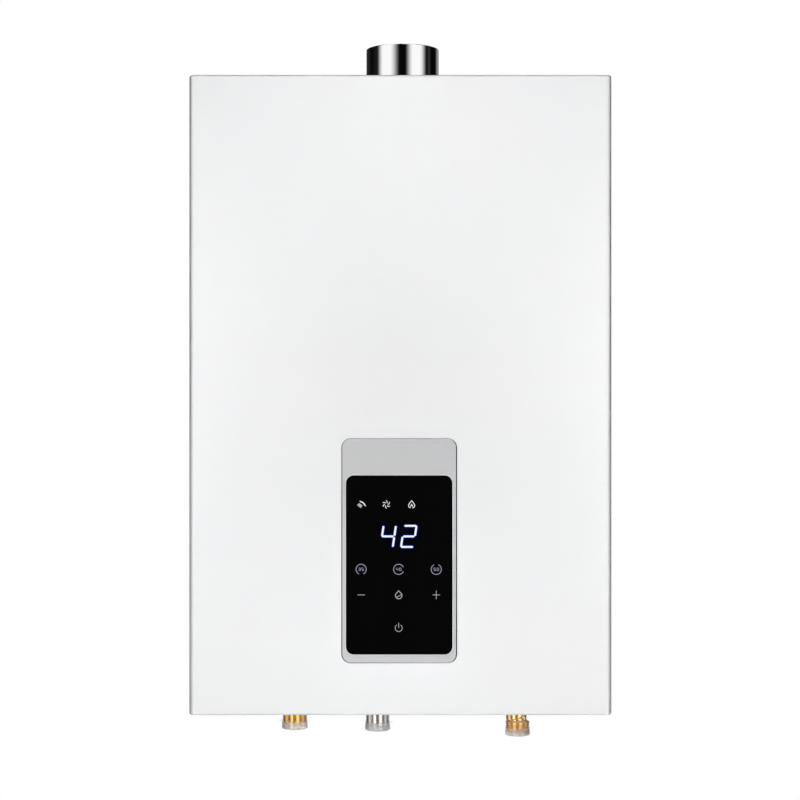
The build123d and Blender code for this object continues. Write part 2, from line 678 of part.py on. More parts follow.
# Fan wheel: forward-curved blades between an inlet ring and a drive disc
wheel_back = fan_back + FAN_SHEET + WHEEL_GAP
wheel_front = fan_front - WHEEL_GAP
hub_length = HUB_LENGTH_SHARE * (wheel_front - wheel_back)
with BuildPart() as fan_wheel:
    with BuildSketch(facing(wheel_front - WHEEL_SHEET)):
        with Locations((fan_x, fan_z)):
            Circle(WHEEL_DIAMETER / 2)
    extrude(amount=WHEEL_SHEET)
    with BuildSketch(facing(wheel_back)):
        with Locations((fan_x, fan_z)):
            Circle(WHEEL_DIAMETER / 2)
            Circle(WHEEL_DIAMETER / 2 - WHEEL_RING, mode=Mode.SUBTRACT)
    extrude(amount=WHEEL_SHEET)
    # Each blade is an arc that leans into the turn, centred on the ring
    blade_arc = CenterArc((0, 0), BLADE_CAMBER_RADIUS, -BLADE_SWEEP / 2, BLADE_SWEEP, mode=Mode.PRIVATE)
    ring_middle = (WHEEL_DIAMETER - WHEEL_RING) / 2
    with BuildSketch(facing(wheel_back + WHEEL_SHEET)):
        with Locations((fan_x, fan_z)):
            with PolarLocations(ring_middle, BLADE_COUNT):
                with Locations((0, -BLADE_CAMBER_RADIUS)):
                    SlotArc(blade_arc, BLADE_THICKNESS, rotation=90)
    extrude(amount=wheel_front - wheel_back - 2 * WHEEL_SHEET)
    with BuildSketch(facing(wheel_front)):
        with Locations((fan_x, fan_z)):
            Circle(HUB_DIAMETER / 2)
    extrude(amount=-hub_length)
    with BuildSketch(facing(wheel_front)):
        with Locations((fan_x, fan_z)):
            Circle(SHAFT_DIAMETER / 2 + RUN)
    extrude(amount=-hub_length, mode=Mode.SUBTRACT)
fan_wheel.part.label = "fan_wheel"
export_step(fan_wheel.part, "parts/fan_wheel.step")

# Motor shaft: runs in the motor and carries the wheel
with BuildPart() as motor_shaft:
    with BuildSketch(facing(wheel_front - hub_length)):
        with Locations((fan_x, fan_z)):
            Circle(SHAFT_DIAMETER / 2)
    extrude(amount=motor_back + MOTOR_LENGTH - wheel_front + hub_length)
motor_shaft.part.label = "motor_shaft"
export_step(motor_shaft.part, "parts/motor_shaft.step")

# Fan motor: rounded can on three feet, with a bearing cap at its front
with BuildPart() as fan_motor:
    with BuildSketch(facing(motor_back)):
        with Locations((fan_x, fan_z)):
            Circle(MOTOR_DIAMETER / 2)
    extrude(amount=MOTOR_LENGTH)
    chamfer(fan_motor.edges().group_by(Axis.Y)[0], MOTOR_EDGE)
    with BuildSketch(facing(motor_back + MOTOR_LENGTH)):
        with Locations((fan_x, fan_z)):
            Circle(MOTOR_CAP_DIAMETER / 2)
    extrude(amount=MOTOR_CAP_HEIGHT)
    with BuildSketch(facing(motor_back)):
        with Locations((fan_x, fan_z)):
            with PolarLocations(motor_foot_radius, MOTOR_FOOT_COUNT, 90):
                SlotCenterPoint((-MOTOR_FOOT_WIDTH / 2, 0), (0, 0), MOTOR_FOOT_WIDTH)
    extrude(amount=MOTOR_FOOT_THICKNESS)
    with BuildSketch(facing(motor_back)):
        with Locations((fan_x, fan_z)):
            with PolarLocations(motor_foot_radius, MOTOR_FOOT_COUNT, 90):
                Circle(MOTOR_SCREW_DIAMETER / 2 + SNUG)
    extrude(amount=MOTOR_FOOT_THICKNESS, mode=Mode.SUBTRACT)
    with BuildSketch(facing(motor_back)):
        with Locations((fan_x, fan_z)):
            Circle(SHAFT_DIAMETER / 2 + RUN)
    extrude(amount=MOTOR_LENGTH + SLIP, mode=Mode.SUBTRACT)
fan_motor.part.label = "fan_motor"
export_step(fan_motor.part, "parts/fan_motor.step")

# Motor screws
with BuildPart() as motor_screws:
    with BuildSketch(facing(motor_back + MOTOR_FOOT_THICKNESS)):
        with Locations((fan_x, fan_z)):
            with PolarLocations(motor_foot_radius, MOTOR_FOOT_COUNT, 90):
                Circle(MOTOR_SCREW_HEAD_DIAMETER / 2)
    extrude(amount=MOTOR_SCREW_HEAD_HEIGHT)
    with BuildSketch(facing(motor_back + MOTOR_FOOT_THICKNESS)):
        with Locations((fan_x, fan_z)):
            with PolarLocations(motor_foot_radius, MOTOR_FOOT_COUNT, 90):
                Circle(MOTOR_SCREW_DIAMETER / 2)
    extrude(amount=-MOTOR_SCREW_LENGTH)
motor_screws.part.label = "motor_screws"
export_step(motor_screws.part, "parts/motor_screws.step")

# Air-pressure switch: round capsule with a hose nozzle, on the plenum's free right side
with BuildPart() as pressure_switch:
    switch_x = hood_width / 2 - SWITCH_SIDE_MARGIN - SWITCH_DIAMETER / 2
    with BuildSketch(facing(fan_back)):
        with Locations((switch_x, fan_z)):
            Circle(SWITCH_DIAMETER / 2)
    extrude(amount=SWITCH_THICKNESS)
    chamfer(pressure_switch.edges().group_by(Axis.Y)[0], SWITCH_EDGE)
    with BuildSketch(facing(fan_back + SWITCH_THICKNESS)):
        with Locations((switch_x, fan_z)):
            Circle(SWITCH_NOZZLE_DIAMETER / 2)
    extrude(amount=SWITCH_NOZZLE_LENGTH)
pressure_switch.part.label = "pressure_switch"
export_step(pressure_switch.part, "parts/pressure_switch.step")

# Heat exchanger box: open copper duct with a lip at each end and a hole for every tube end
with BuildPart() as exchanger_box:
    with BuildSketch(level(exchanger_bottom)):
        with Locations((0, -exchanger_middle)):
            Rectangle(EXCHANGER_WIDTH, exchanger_depth)
    extrude(amount=exchanger_height)
    for lip_level in (exchanger_bottom, exchanger_top - EXCHANGER_SHEET):
        with BuildSketch(level(lip_level)):
            with Locations((0, -exchanger_middle)):
                Rectangle(EXCHANGER_WIDTH + 2 * EXCHANGER_LIP, exchanger_depth + 2 * EXCHANGER_LIP)
        extrude(amount=EXCHANGER_SHEET)
    with BuildSketch(level(exchanger_bottom)):
        with Locations((0, -exchanger_middle)):
            Rectangle(EXCHANGER_WIDTH - 2 * EXCHANGER_SHEET, exchanger_depth - 2 * EXCHANGER_SHEET)
    extrude(amount=exchanger_height, mode=Mode.SUBTRACT)
    with BuildSketch(Plane.YZ):
        with Locations(*[(-depth, tube_level) for depth in tube_depths]):
            Circle(TUBE_DIAMETER / 2 + SNUG)
    extrude(amount=EXCHANGER_WIDTH / 2, both=True, mode=Mode.SUBTRACT)
    with BuildSketch(facing(exchanger_front - EXCHANGER_SHEET)):
        with Locations((0, exchanger_bottom + ELECTRODE_RISE)):
            with GridLocations(ELECTRODE_PITCH, 0, ELECTRODE_COUNT, 1):
                Circle(CERAMIC_DIAMETER / 2 + SNUG)
    extrude(amount=EXCHANGER_SHEET, mode=Mode.SUBTRACT)
exchanger_box.part.label = "exchanger_box"
export_step(exchanger_box.part, "parts/exchanger_box.step")

# Fin pack: copper plates threaded on the three passes
with BuildPart() as exchanger_fins:
    fin_span = EXCHANGER_WIDTH - 2 * EXCHANGER_SHEET - 2 * FIN_END_MARGIN - FIN_SHEET
    fin_pitch = fin_span / (FIN_COUNT - 1)
    fin_start = -(fin_span + FIN_SHEET) / 2
    fin_planes = [Plane.YZ.offset(fin_start + fin_pitch * index) for index in range(FIN_COUNT)]
    with BuildSketch(*fin_planes):
        with Locations((-exchanger_middle, tube_level)):
            Rectangle(exchanger_depth - 2 * (EXCHANGER_SHEET + SLIP), FIN_HEIGHT)
        with Locations(*[(-depth, tube_level) for depth in tube_depths]):
            Circle(TUBE_DIAMETER / 2 + SNUG, mode=Mode.SUBTRACT)
    extrude(amount=FIN_SHEET)
exchanger_fins.part.label = "exchanger_fins"
export_step(exchanger_fins.part, "parts/exchanger_fins.step")

# Water tube: one length bent into three passes, in at the right and out at the left
with BuildPart() as exchanger_tube:
    stub_x = EXCHANGER_WIDTH / 2 + TUBE_STUB
    leg_x = EXCHANGER_WIDTH / 2 + BEND_LEG
    with BuildLine(level(tube_level)) as passes:
        Line((stub_x, -tube_depths[0]), (-leg_x, -tube_depths[0]))
        CenterArc((-leg_x, -tube_depths[0] - TUBE_PITCH / 2), TUBE_PITCH / 2, 90, 180)
        Line((-leg_x, -tube_depths[1]), (leg_x, -tube_depths[1]))
        CenterArc((leg_x, -tube_depths[1] - TUBE_PITCH / 2), TUBE_PITCH / 2, 90, -180)
        Line((leg_x, -tube_depths[2]), (-stub_x, -tube_depths[2]))
    with BuildSketch(Plane.YZ.offset(stub_x)):
        with Locations((-tube_depths[0], tube_level)):
            Circle(TUBE_DIAMETER / 2)
            Circle(TUBE_DIAMETER / 2 - TUBE_WALL, mode=Mode.SUBTRACT)
    sweep(path=passes.wires()[0])
exchanger_tube.part.label = "exchanger_tube"
export_step(exchanger_tube.part, "parts/exchanger_tube.step")

# Overheat cut-outs: two small discs on the front of the exchanger box
with BuildPart() as overheat_cutouts:
    with BuildSketch(facing(exchanger_front)):
        with Locations((0, exchanger_bottom + CUTOUT_RISE_SHARE * exchanger_height)):
            with GridLocations(CUTOUT_SPACING, 0, 2, 1):
                Circle(CUTOUT_DIAMETER / 2)
    extrude(amount=CUTOUT_THICKNESS)
overheat_cutouts.part.label = "overheat_cutouts"
export_step(overheat_cutouts.part, "parts/overheat_cutouts.step")

# Brackets: bent plates from the back to both sides of the exchanger box
bracket_top = tube_level - TUBE_DIAMETER / 2 - BRACKET_TUBE_GAP
bracket_height = BRACKET_HEIGHT_SHARE * (bracket_top - exchanger_bottom)
with BuildPart() as exchanger_brackets:
    for side in (1, -1):
        inner = side * EXCHANGER_WIDTH / 2
        outer = inner + side * BRACKET_SHEET
        foot = inner + side * BRACKET_FOOT
        with BuildSketch(level(bracket_top - bracket_height)):
            Polygon(
                (inner, -CHASSIS_SHEET),
                (foot, -CHASSIS_SHEET),
                (foot, -CHASSIS_SHEET - BRACKET_SHEET),
                (outer, -CHASSIS_SHEET - BRACKET_SHEET),
                (outer, -BRACKET_REACH),
                (inner, -BRACKET_REACH),
                align=None,
            )
        extrude(amount=bracket_height)
exchanger_brackets.part.label = "exchanger_brackets"
export_step(exchanger_brackets.part, "parts/exchanger_brackets.step")

# Burner frame: open duct under the exchanger, with a jet hole in front of every bar
jet_level = burner_bottom + MANIFOLD_SIDE / 2 + MANIFOLD_END
with BuildPart() as burner_frame:
    with BuildSketch(level(burner_bottom)):
        with Locations((0, -exchanger_middle)):
            Rectangle(EXCHANGER_WIDTH, exchanger_depth)
    extrude(amount=BURNER_HEIGHT)
    with BuildSketch(level(exchanger_bottom - BURNER_SHEET)):
        with Locations((0, -exchanger_middle)):
            Rectangle(EXCHANGER_WIDTH + 2 * EXCHANGER_LIP, exchanger_depth + 2 * EXCHANGER_LIP)
    extrude(amount=BURNER_SHEET)
    with BuildSketch(level(burner_bottom)):
        with Locations((0, -exchanger_middle)):
            Rectangle(EXCHANGER_WIDTH - 2 * BURNER_SHEET, exchanger_depth - 2 * BURNER_SHEET)
    extrude(amount=BURNER_HEIGHT, mode=Mode.SUBTRACT)
    with BuildSketch(facing(exchanger_front - BURNER_SHEET)):
        with Locations((0, jet_level)):
            with GridLocations(BAR_PITCH, 0, BAR_COUNT, 1):
                Circle(JET_DIAMETER / 2 + JET_HOLE_SLACK)
    extrude(amount=BURNER_SHEET, mode=Mode.SUBTRACT)
burner_frame.part.label = "burner_frame"
export_step(burner_frame.part, "parts/burner_frame.step")

# Burner bars: flat hollow pressings with a mouth in front of each jet and port slots through the crown
bar_top = exchanger_bottom - BAR_TOP_GAP
bar_bottom = bar_top - BAR_HEIGHT
bar_front = exchanger_front - BURNER_SHEET - SLIP
bar_back = EXCHANGER_BACK_GAP + BURNER_SHEET + SLIP
bar_throat = bar_front - JET_LENGTH
bar_row = [BAR_PITCH * (index - (BAR_COUNT - 1) / 2) for index in range(BAR_COUNT)]
with BuildSketch(Plane.YZ) as bar_side:
    Polygon(
        (-bar_back, bar_top),
        (-bar_front, bar_top),
        (-bar_front, bar_bottom + 2 * BAR_THROAT_HEIGHT),
        (-bar_throat, bar_bottom + BAR_THROAT_HEIGHT),
        (-bar_throat, bar_bottom),
        (-exchanger_middle, bar_bottom),
        (-bar_back, bar_top - BAR_HEIGHT / 2),
        align=None,
    )
with BuildPart() as burner_bars:
    with BuildSketch(*[Plane.YZ.offset(x - BAR_WIDTH / 2) for x in bar_row]):
        add(bar_side.sketch_local)
    extrude(amount=BAR_WIDTH)
    fillet(burner_bars.edges().filter_by(Axis.Y).group_by(Axis.Z)[-1], BAR_CROWN)
    with BuildSketch(*[Plane.YZ.offset(x - BAR_WIDTH / 2 + BAR_SHEET) for x in bar_row]):
        add(bar_side.sketch_local)
        offset(amount=-BAR_SHEET, kind=Kind.INTERSECTION, mode=Mode.REPLACE)
    extrude(amount=BAR_WIDTH - 2 * BAR_SHEET, mode=Mode.SUBTRACT)
    with BuildSketch(facing(bar_throat)):
        with Locations((0, jet_level)):
            with GridLocations(BAR_PITCH, 0, BAR_COUNT, 1):
                Circle(BAR_MOUTH_DIAMETER / 2)
    extrude(amount=-BAR_SHEET, mode=Mode.SUBTRACT)
    with BuildSketch(level(bar_top)):
        with Locations((0, -exchanger_middle)):
            port_pitch = (bar_front - bar_back) / (BAR_PORT_COUNT + 1)
            with GridLocations(BAR_PITCH, port_pitch, BAR_COUNT, BAR_PORT_COUNT):
                Rectangle(BAR_WIDTH, BAR_PORT_WIDTH)
    extrude(amount=-BAR_PORT_DEPTH, mode=Mode.SUBTRACT)
burner_bars.part.label = "burner_bars"
export_step(burner_bars.part, "parts/burner_bars.step")

# Gas manifold: square tube across the burner's front, fed from below by the riser
manifold_length = BAR_PITCH * (BAR_COUNT - 1) + 2 * MANIFOLD_END
with BuildPart() as gas_manifold:
    with BuildSketch(Plane.YZ.offset(-manifold_length / 2)):
        with Locations((-riser_depth, jet_level)):
            Rectangle(MANIFOLD_SIDE, MANIFOLD_SIDE)
    extrude(amount=manifold_length)
    with BuildSketch(Plane.YZ.offset(-manifold_length / 2 + MANIFOLD_WALL)):
        with Locations((-riser_depth, jet_level)):
            Rectangle(MANIFOLD_SIDE - 2 * MANIFOLD_WALL, MANIFOLD_SIDE - 2 * MANIFOLD_WALL)
    extrude(amount=manifold_length - 2 * MANIFOLD_WALL, mode=Mode.SUBTRACT)
    with BuildSketch(level(jet_level - MANIFOLD_SIDE / 2)):
        with Locations((GAS_X, -riser_depth)):
            Circle(RISER_DIAMETER / 2 - RISER_WALL - MANIFOLD_WALL)
    extrude(amount=MANIFOLD_WALL, mode=Mode.SUBTRACT)
gas_manifold.part.label = "gas_manifold"
export_step(gas_manifold.part, "parts/gas_manifold.step")

# Gas jets: tapered brass nozzles, one for each bar
with BuildPart() as gas_jets:
    with BuildSketch(facing(exchanger_front)):
        with Locations((0, jet_level)):
            with GridLocations(BAR_PITCH, 0, BAR_COUNT, 1):
                Circle(JET_DIAMETER / 2)
    extrude(amount=-(JET_LENGTH - JET_TIP))
    with BuildSketch(facing(exchanger_front - JET_LENGTH + JET_TIP)):
        with Locations((0, jet_level)):
            with GridLocations(BAR_PITCH, 0, BAR_COUNT, 1):
                Circle(JET_DIAMETER / 2)
    extrude(amount=-JET_TIP, taper=JET_TAPER)
gas_jets.part.label = "gas_jets"
export_step(gas_jets.part, "parts/gas_jets.step")

# Electrodes: wire in a ceramic sleeve with a collar against the box
with BuildPart() as electrodes:
    electrode_row = [
        (ELECTRODE_PITCH * (index - (ELECTRODE_COUNT - 1) / 2), exchanger_bottom + ELECTRODE_RISE)
        for index in range(ELECTRODE_COUNT)
    ]
    with BuildSketch(facing(exchanger_front - EXCHANGER_SHEET - CERAMIC_INSIDE)):
        with Locations(*electrode_row):
            Circle(CERAMIC_DIAMETER / 2)
    extrude(amount=CERAMIC_INSIDE + EXCHANGER_SHEET + CERAMIC_OUTSIDE)
    with BuildSketch(facing(exchanger_front)):
        with Locations(*electrode_row):
            Circle(CERAMIC_COLLAR_DIAMETER / 2)
    extrude(amount=CERAMIC_COLLAR_LENGTH)
    with BuildSketch(facing(exchanger_front - EXCHANGER_SHEET - CERAMIC_INSIDE)):
        with Locations(*electrode_row):
            Circle(ELECTRODE_WIRE_DIAMETER / 2)
    extrude(amount=-ELECTRODE_WIRE_LENGTH)
electrodes.part.label = "electrodes"
export_step(electrodes.part, "parts/electrodes.step")


def bulkhead(x, depth, reach):
    """Turned connector: threaded stem through the bottom plate, flange on it and a pipe socket above."""
    tip = -case_top - reach
    thread_radius = THREAD_DIAMETER / 2
    with BuildPart() as connector:
        with BuildSketch(upright(x, depth)):
            Polygon(
                (CONNECTOR_BORE / 2, tip),
                (thread_radius - THREAD_CHAMFER, tip),
                (thread_radius, tip + THREAD_CHAMFER),
                (thread_radius, -plate_inner),
                (CONNECTOR_FLANGE_DIAMETER / 2, -plate_inner),
                (CONNECTOR_FLANGE_DIAMETER / 2, flange_top),
                (socket_radius, flange_top),
                (socket_radius, socket_top),
                (PIPE_DIAMETER / 2 + SNUG, socket_top),
                (PIPE_DIAMETER / 2 + SNUG, socket_top - SOCKET_DEPTH),
                (CONNECTOR_BORE / 2, socket_top - SOCKET_DEPTH),
                align=None,
            )
        revolve(axis=vertical_axis(x, depth))
        with BuildSketch(level(-plate_inner)):
            with Locations((x, -depth)):
                with GridLocations(connector_screw_span, 0, 2, 1):
                    Circle(CONNECTOR_SCREW_DIAMETER / 2 + SNUG)
        extrude(amount=CONNECTOR_FLANGE_THICKNESS, mode=Mode.SUBTRACT)
    return connector.part


# Hot-water outlet, at the left
hot_outlet = bulkhead(HOT_X, hot_depth, HOT_REACH)
hot_outlet.label = "hot_outlet"
export_step(hot_outlet, "parts/hot_outlet.step")

# Gas inlet, in the middle
gas_inlet = bulkhead(GAS_X, gas_depth, GAS_REACH)
gas_inlet.label = "gas_inlet"
export_step(gas_inlet, "parts/gas_inlet.step")

# Cold-water inlet, at the right: brass casting with a slanted shoulder and a waisted neck
cold_tip = -case_top - COLD_REACH
cold_thread_top = cold_tip + COLD_THREAD_LENGTH
with BuildPart() as cold_inlet:
    with BuildSketch(level(cold_thread_top)):
        with Locations((COLD_X, -cold_depth)):
            Circle(SHOULDER_DIAMETER / 2)
    extrude(amount=flange_top - cold_thread_top)
    slant = Plane((COLD_X, -cold_depth, -case_top - SHOULDER_DROP)).rotated((0, -SHOULDER_TILT, 0))
    split(bisect_by=slant, keep=Keep.TOP)
    with BuildSketch(upright(COLD_X, cold_depth)):
        Polygon(
            (0, cold_tip),
            (THREAD_DIAMETER / 2 - THREAD_CHAMFER, cold_tip),
            (THREAD_DIAMETER / 2, cold_tip + THREAD_CHAMFER),
            (THREAD_DIAMETER / 2, cold_thread_top),
            (COLD_NECK_DIAMETER / 2, cold_thread_top),
            (COLD_NECK_DIAMETER / 2, -plate_inner),
            (CONNECTOR_FLANGE_DIAMETER / 2, -plate_inner),
            (CONNECTOR_FLANGE_DIAMETER / 2, flange_top),
            (socket_radius, flange_top),
            (socket_radius, socket_top),
            (0, socket_top),
            align=None,
        )
    revolve(axis=vertical_axis(COLD_X, cold_depth))
    with BuildSketch(level(cold_tip)):
        with Locations((COLD_X, -cold_depth)):
            Circle(COLD_BORE / 2)
    extrude(amount=socket_top - cold_tip, mode=Mode.SUBTRACT)
    with BuildSketch(level(socket_top)):
        with Locations((COLD_X, -cold_depth)):
            Circle(PIPE_DIAMETER / 2 + SNUG)
    extrude(amount=-SOCKET_DEPTH, mode=Mode.SUBTRACT)
    with BuildSketch(level(-plate_inner)):
        with Locations((COLD_X, -cold_depth)):
            with GridLocations(connector_screw_span, 0, 2, 1):
                Circle(CONNECTOR_SCREW_DIAMETER / 2 + SNUG)
    extrude(amount=CONNECTOR_FLANGE_THICKNESS, mode=Mode.SUBTRACT)
cold_inlet.part.label = "cold_inlet"
export_step(cold_inlet.part, "parts/cold_inlet.step")

# Connector screws: two through each flange
with BuildPart() as connector_screws:
    for place in connector_places:
        with BuildSketch(level(flange_top)):
            with Locations(place):
                with GridLocations(connector_screw_span, 0, 2, 1):
                    Circle(CONNECTOR_SCREW_HEAD_DIAMETER / 2)
        extrude(amount=CONNECTOR_SCREW_HEAD_HEIGHT)
        with BuildSketch(level(flange_top)):
            with Locations(place):
                with GridLocations(connector_screw_span, 0, 2, 1):
                    Circle(CONNECTOR_SCREW_DIAMETER / 2)
        extrude(amount=-CONNECTOR_SCREW_LENGTH)
connector_screws.part.label = "connector_screws"
export_step(connector_screws.part, "parts/connector_screws.step")


def dust_cap(x, depth, reach, tab_side):
    """Soft cup pushed over a thread, with a pull tab at its rim."""
    inner_radius = THREAD_DIAMETER / 2 + SNUG
    outer_radius = inner_radius + CAP_WALL
    floor_top = -case_top - reach - SLIP
    floor_under = floor_top - CAP_FLOOR
    rim = floor_under + CAP_HEIGHT
    with BuildPart() as cap:
        with BuildSketch(level(floor_under)):
            with Locations((x, -depth)):
                Circle(outer_radius)
        extrude(amount=CAP_HEIGHT)
        chamfer(cap.edges().group_by(Axis.Z)[0], CAP_EDGE)
        with BuildSketch(level(rim)):
            with Locations((x + tab_side * outer_radius, -depth)):
                RectangleRounded(2 * CAP_TAB_LENGTH, CAP_TAB_WIDTH, CAP_TAB_LENGTH / 2)
        extrude(amount=-CAP_TAB_THICKNESS)
        with BuildSketch(level(floor_top)):
            with Locations((x, -depth)):
                Circle(inner_radius)
        extrude(amount=CAP_HEIGHT, mode=Mode.SUBTRACT)
    return cap.part


# Dust caps of the three connectors
hot_cap = dust_cap(HOT_X, hot_depth, HOT_REACH, -1)
hot_cap.label = "hot_cap"
export_step(hot_cap, "parts/hot_cap.step")
gas_cap = dust_cap(GAS_X, gas_depth, GAS_REACH, 1)
gas_cap.label = "gas_cap"
export_step(gas_cap, "parts/gas_cap.step")
cold_cap = dust_cap(COLD_X, cold_depth, COLD_REACH, 1)
cold_cap.label = "cold_cap"
export_step(cold_cap, "parts/cold_cap.step")

# Flow sensor body: brass housing on the cold inlet, with a bearing spider under its turbine chamber
sensor_bottom = socket_top
sensor_top = sensor_bottom + SENSOR_HEIGHT
chamber_bottom = sensor_bottom + (SENSOR_HEIGHT - SENSOR_CHAMBER_HEIGHT) / 2
chamber_top = chamber_bottom + SENSOR_CHAMBER_HEIGHT
with BuildPart() as flow_sensor_body:
    with BuildSketch(level(flange_top)):
        with Locations((COLD_X, -cold_depth)):
            Circle(socket_radius + SNUG + SOCKET_WALL)
    extrude(amount=SOCKET_HEIGHT)
    with BuildSketch(level(sensor_bottom)):
        with Locations((COLD_X, -cold_depth)):
            Circle(SENSOR_DIAMETER / 2)
    extrude(amount=SENSOR_HEIGHT)
    with BuildSketch(level(flange_top)):
        with Locations((COLD_X, -cold_depth)):
            Circle(socket_radius + SNUG)
    extrude(amount=SOCKET_HEIGHT, mode=Mode.SUBTRACT)
    with BuildSketch(level(sensor_bottom)):
        with Locations((COLD_X, -cold_depth)):
            Circle(COLD_BORE / 2)
    extrude(amount=SENSOR_HEIGHT, mode=Mode.SUBTRACT)
    with BuildSketch(level(sensor_top)):
        with Locations((COLD_X, -cold_depth)):
            Circle(PIPE_DIAMETER / 2 + SNUG)
    extrude(amount=-SOCKET_DEPTH, mode=Mode.SUBTRACT)
    with BuildSketch(level(chamber_bottom)):
        with Locations((COLD_X, -cold_depth)):
            Circle(SENSOR_CHAMBER_DIAMETER / 2)
    extrude(amount=SENSOR_CHAMBER_HEIGHT, mode=Mode.SUBTRACT)
    for spider_level in (chamber_bottom, chamber_top - SPIDER_THICKNESS):
        with BuildSketch(level(spider_level)):
            with Locations((COLD_X, -cold_depth)):
                Rectangle(SENSOR_CHAMBER_DIAMETER + SPIDER_BAR, SPIDER_BAR)
                Rectangle(SPIDER_BAR, SENSOR_CHAMBER_DIAMETER + SPIDER_BAR)
                Circle(SPIDER_HUB_DIAMETER / 2)
                Circle(TURBINE_AXLE_DIAMETER / 2 + RUN, mode=Mode.SUBTRACT)
        extrude(amount=SPIDER_THICKNESS)
flow_sensor_body.part.label = "flow_sensor_body"
export_step(flow_sensor_body.part, "parts/flow_sensor_body.step")

# Flow turbine: six vanes on a hub, its axle ends run in the two spiders
turbine_bottom = (chamber_bottom + chamber_top - TURBINE_HEIGHT) / 2
with BuildPart() as flow_turbine:
    with BuildSketch(level(turbine_bottom)):
        with Locations((COLD_X, -cold_depth)):
            Circle(TURBINE_HUB_DIAMETER / 2)
            with PolarLocations(0, TURBINE_BLADES // 2, angular_range=180):
                Rectangle(TURBINE_DIAMETER, TURBINE_BLADE_THICKNESS)
    extrude(amount=TURBINE_HEIGHT)
    with BuildSketch(level(chamber_bottom + SLIP)):
        with Locations((COLD_X, -cold_depth)):
            Circle(TURBINE_AXLE_DIAMETER / 2)
    extrude(amount=SENSOR_CHAMBER_HEIGHT - 2 * SLIP)
flow_turbine.part.label = "flow_turbine"
export_step(flow_turbine.part, "parts/flow_turbine.step")

# Flow pickup: sensor block on the side of the housing
with BuildPart() as flow_pickup:
    with BuildSketch(facing(cold_depth)):
        with Locations((COLD_X, (chamber_bottom + chamber_top) / 2)):
            RectangleRounded(PICKUP_WIDTH, PICKUP_HEIGHT, BOX_WALL)
    extrude(amount=SENSOR_DIAMETER / 2 + PICKUP_THICKNESS)
    with BuildSketch(level(chamber_bottom - PICKUP_HEIGHT)):
        with Locations((COLD_X, -cold_depth)):
            Circle(SENSOR_DIAMETER / 2 + SNUG)
    extrude(amount=SENSOR_CHAMBER_HEIGHT + 2 * PICKUP_HEIGHT, mode=Mode.SUBTRACT)
flow_pickup.part.label = "flow_pickup"
export_step(flow_pickup.part, "parts/flow_pickup.step")

# Inlet strainer: thimble that stands in the cold inlet's socket
with BuildPart() as inlet_strainer:
    strainer_top = socket_top - SOCKET_DEPTH
    with BuildSketch(level(strainer_top)):
        with Locations((COLD_X, -cold_depth)):
            Circle(COLD_BORE / 2 + STRAINER_LIP)
            Circle(COLD_BORE / 2 - SLIP - STRAINER_WALL, mode=Mode.SUBTRACT)
    extrude(amount=STRAINER_LIP_LENGTH)
    with BuildSketch(level(strainer_top)):
        with Locations((COLD_X, -cold_depth)):
            Circle(COLD_BORE / 2 - SLIP)
            Circle(COLD_BORE / 2 - SLIP - STRAINER_WALL, mode=Mode.SUBTRACT)
    extrude(amount=-STRAINER_LENGTH)
    with BuildSketch(level(strainer_top - STRAINER_LENGTH)):
        with Locations((COLD_X, -cold_depth)):
            Circle(COLD_BORE / 2 - SLIP)
    extrude(amount=STRAINER_WALL)
inlet_strainer.part.label = "inlet_strainer"
export_step(inlet_strainer.part, "parts/inlet_strainer.step")


def water_pipe(x, depth, foot, stub_end):
    """Copper pipe: straight up from its socket, then one bend into the end of the exchanger tube."""
    run = abs(x - stub_end)
    with BuildPart() as pipe:
        with BuildLine() as path:
            FilletPolyline(
                (x, -depth, foot),
                (x, -depth, tube_level),
                (stub_end, -depth, tube_level),
                radius=min(PIPE_BEND, run - SLIP),
            )
        with BuildSketch(level(foot)):
            with Locations((x, -depth)):
                Circle(PIPE_DIAMETER / 2)
                Circle(PIPE_DIAMETER / 2 - PIPE_WALL, mode=Mode.SUBTRACT)
        sweep(path=path.wires()[0])
    return pipe.part


# Cold pipe up the right side, hot pipe down the left side
cold_pipe = water_pipe(COLD_X, cold_depth, sensor_top - SOCKET_DEPTH + SLIP, stub_x)
cold_pipe.label = "cold_pipe"
export_step(cold_pipe, "parts/cold_pipe.step")
hot_pipe = water_pipe(HOT_X, hot_depth, socket_top - SOCKET_DEPTH + SLIP, -stub_x)
hot_pipe.label = "hot_pipe"
export_step(hot_pipe, "parts/hot_pipe.step")

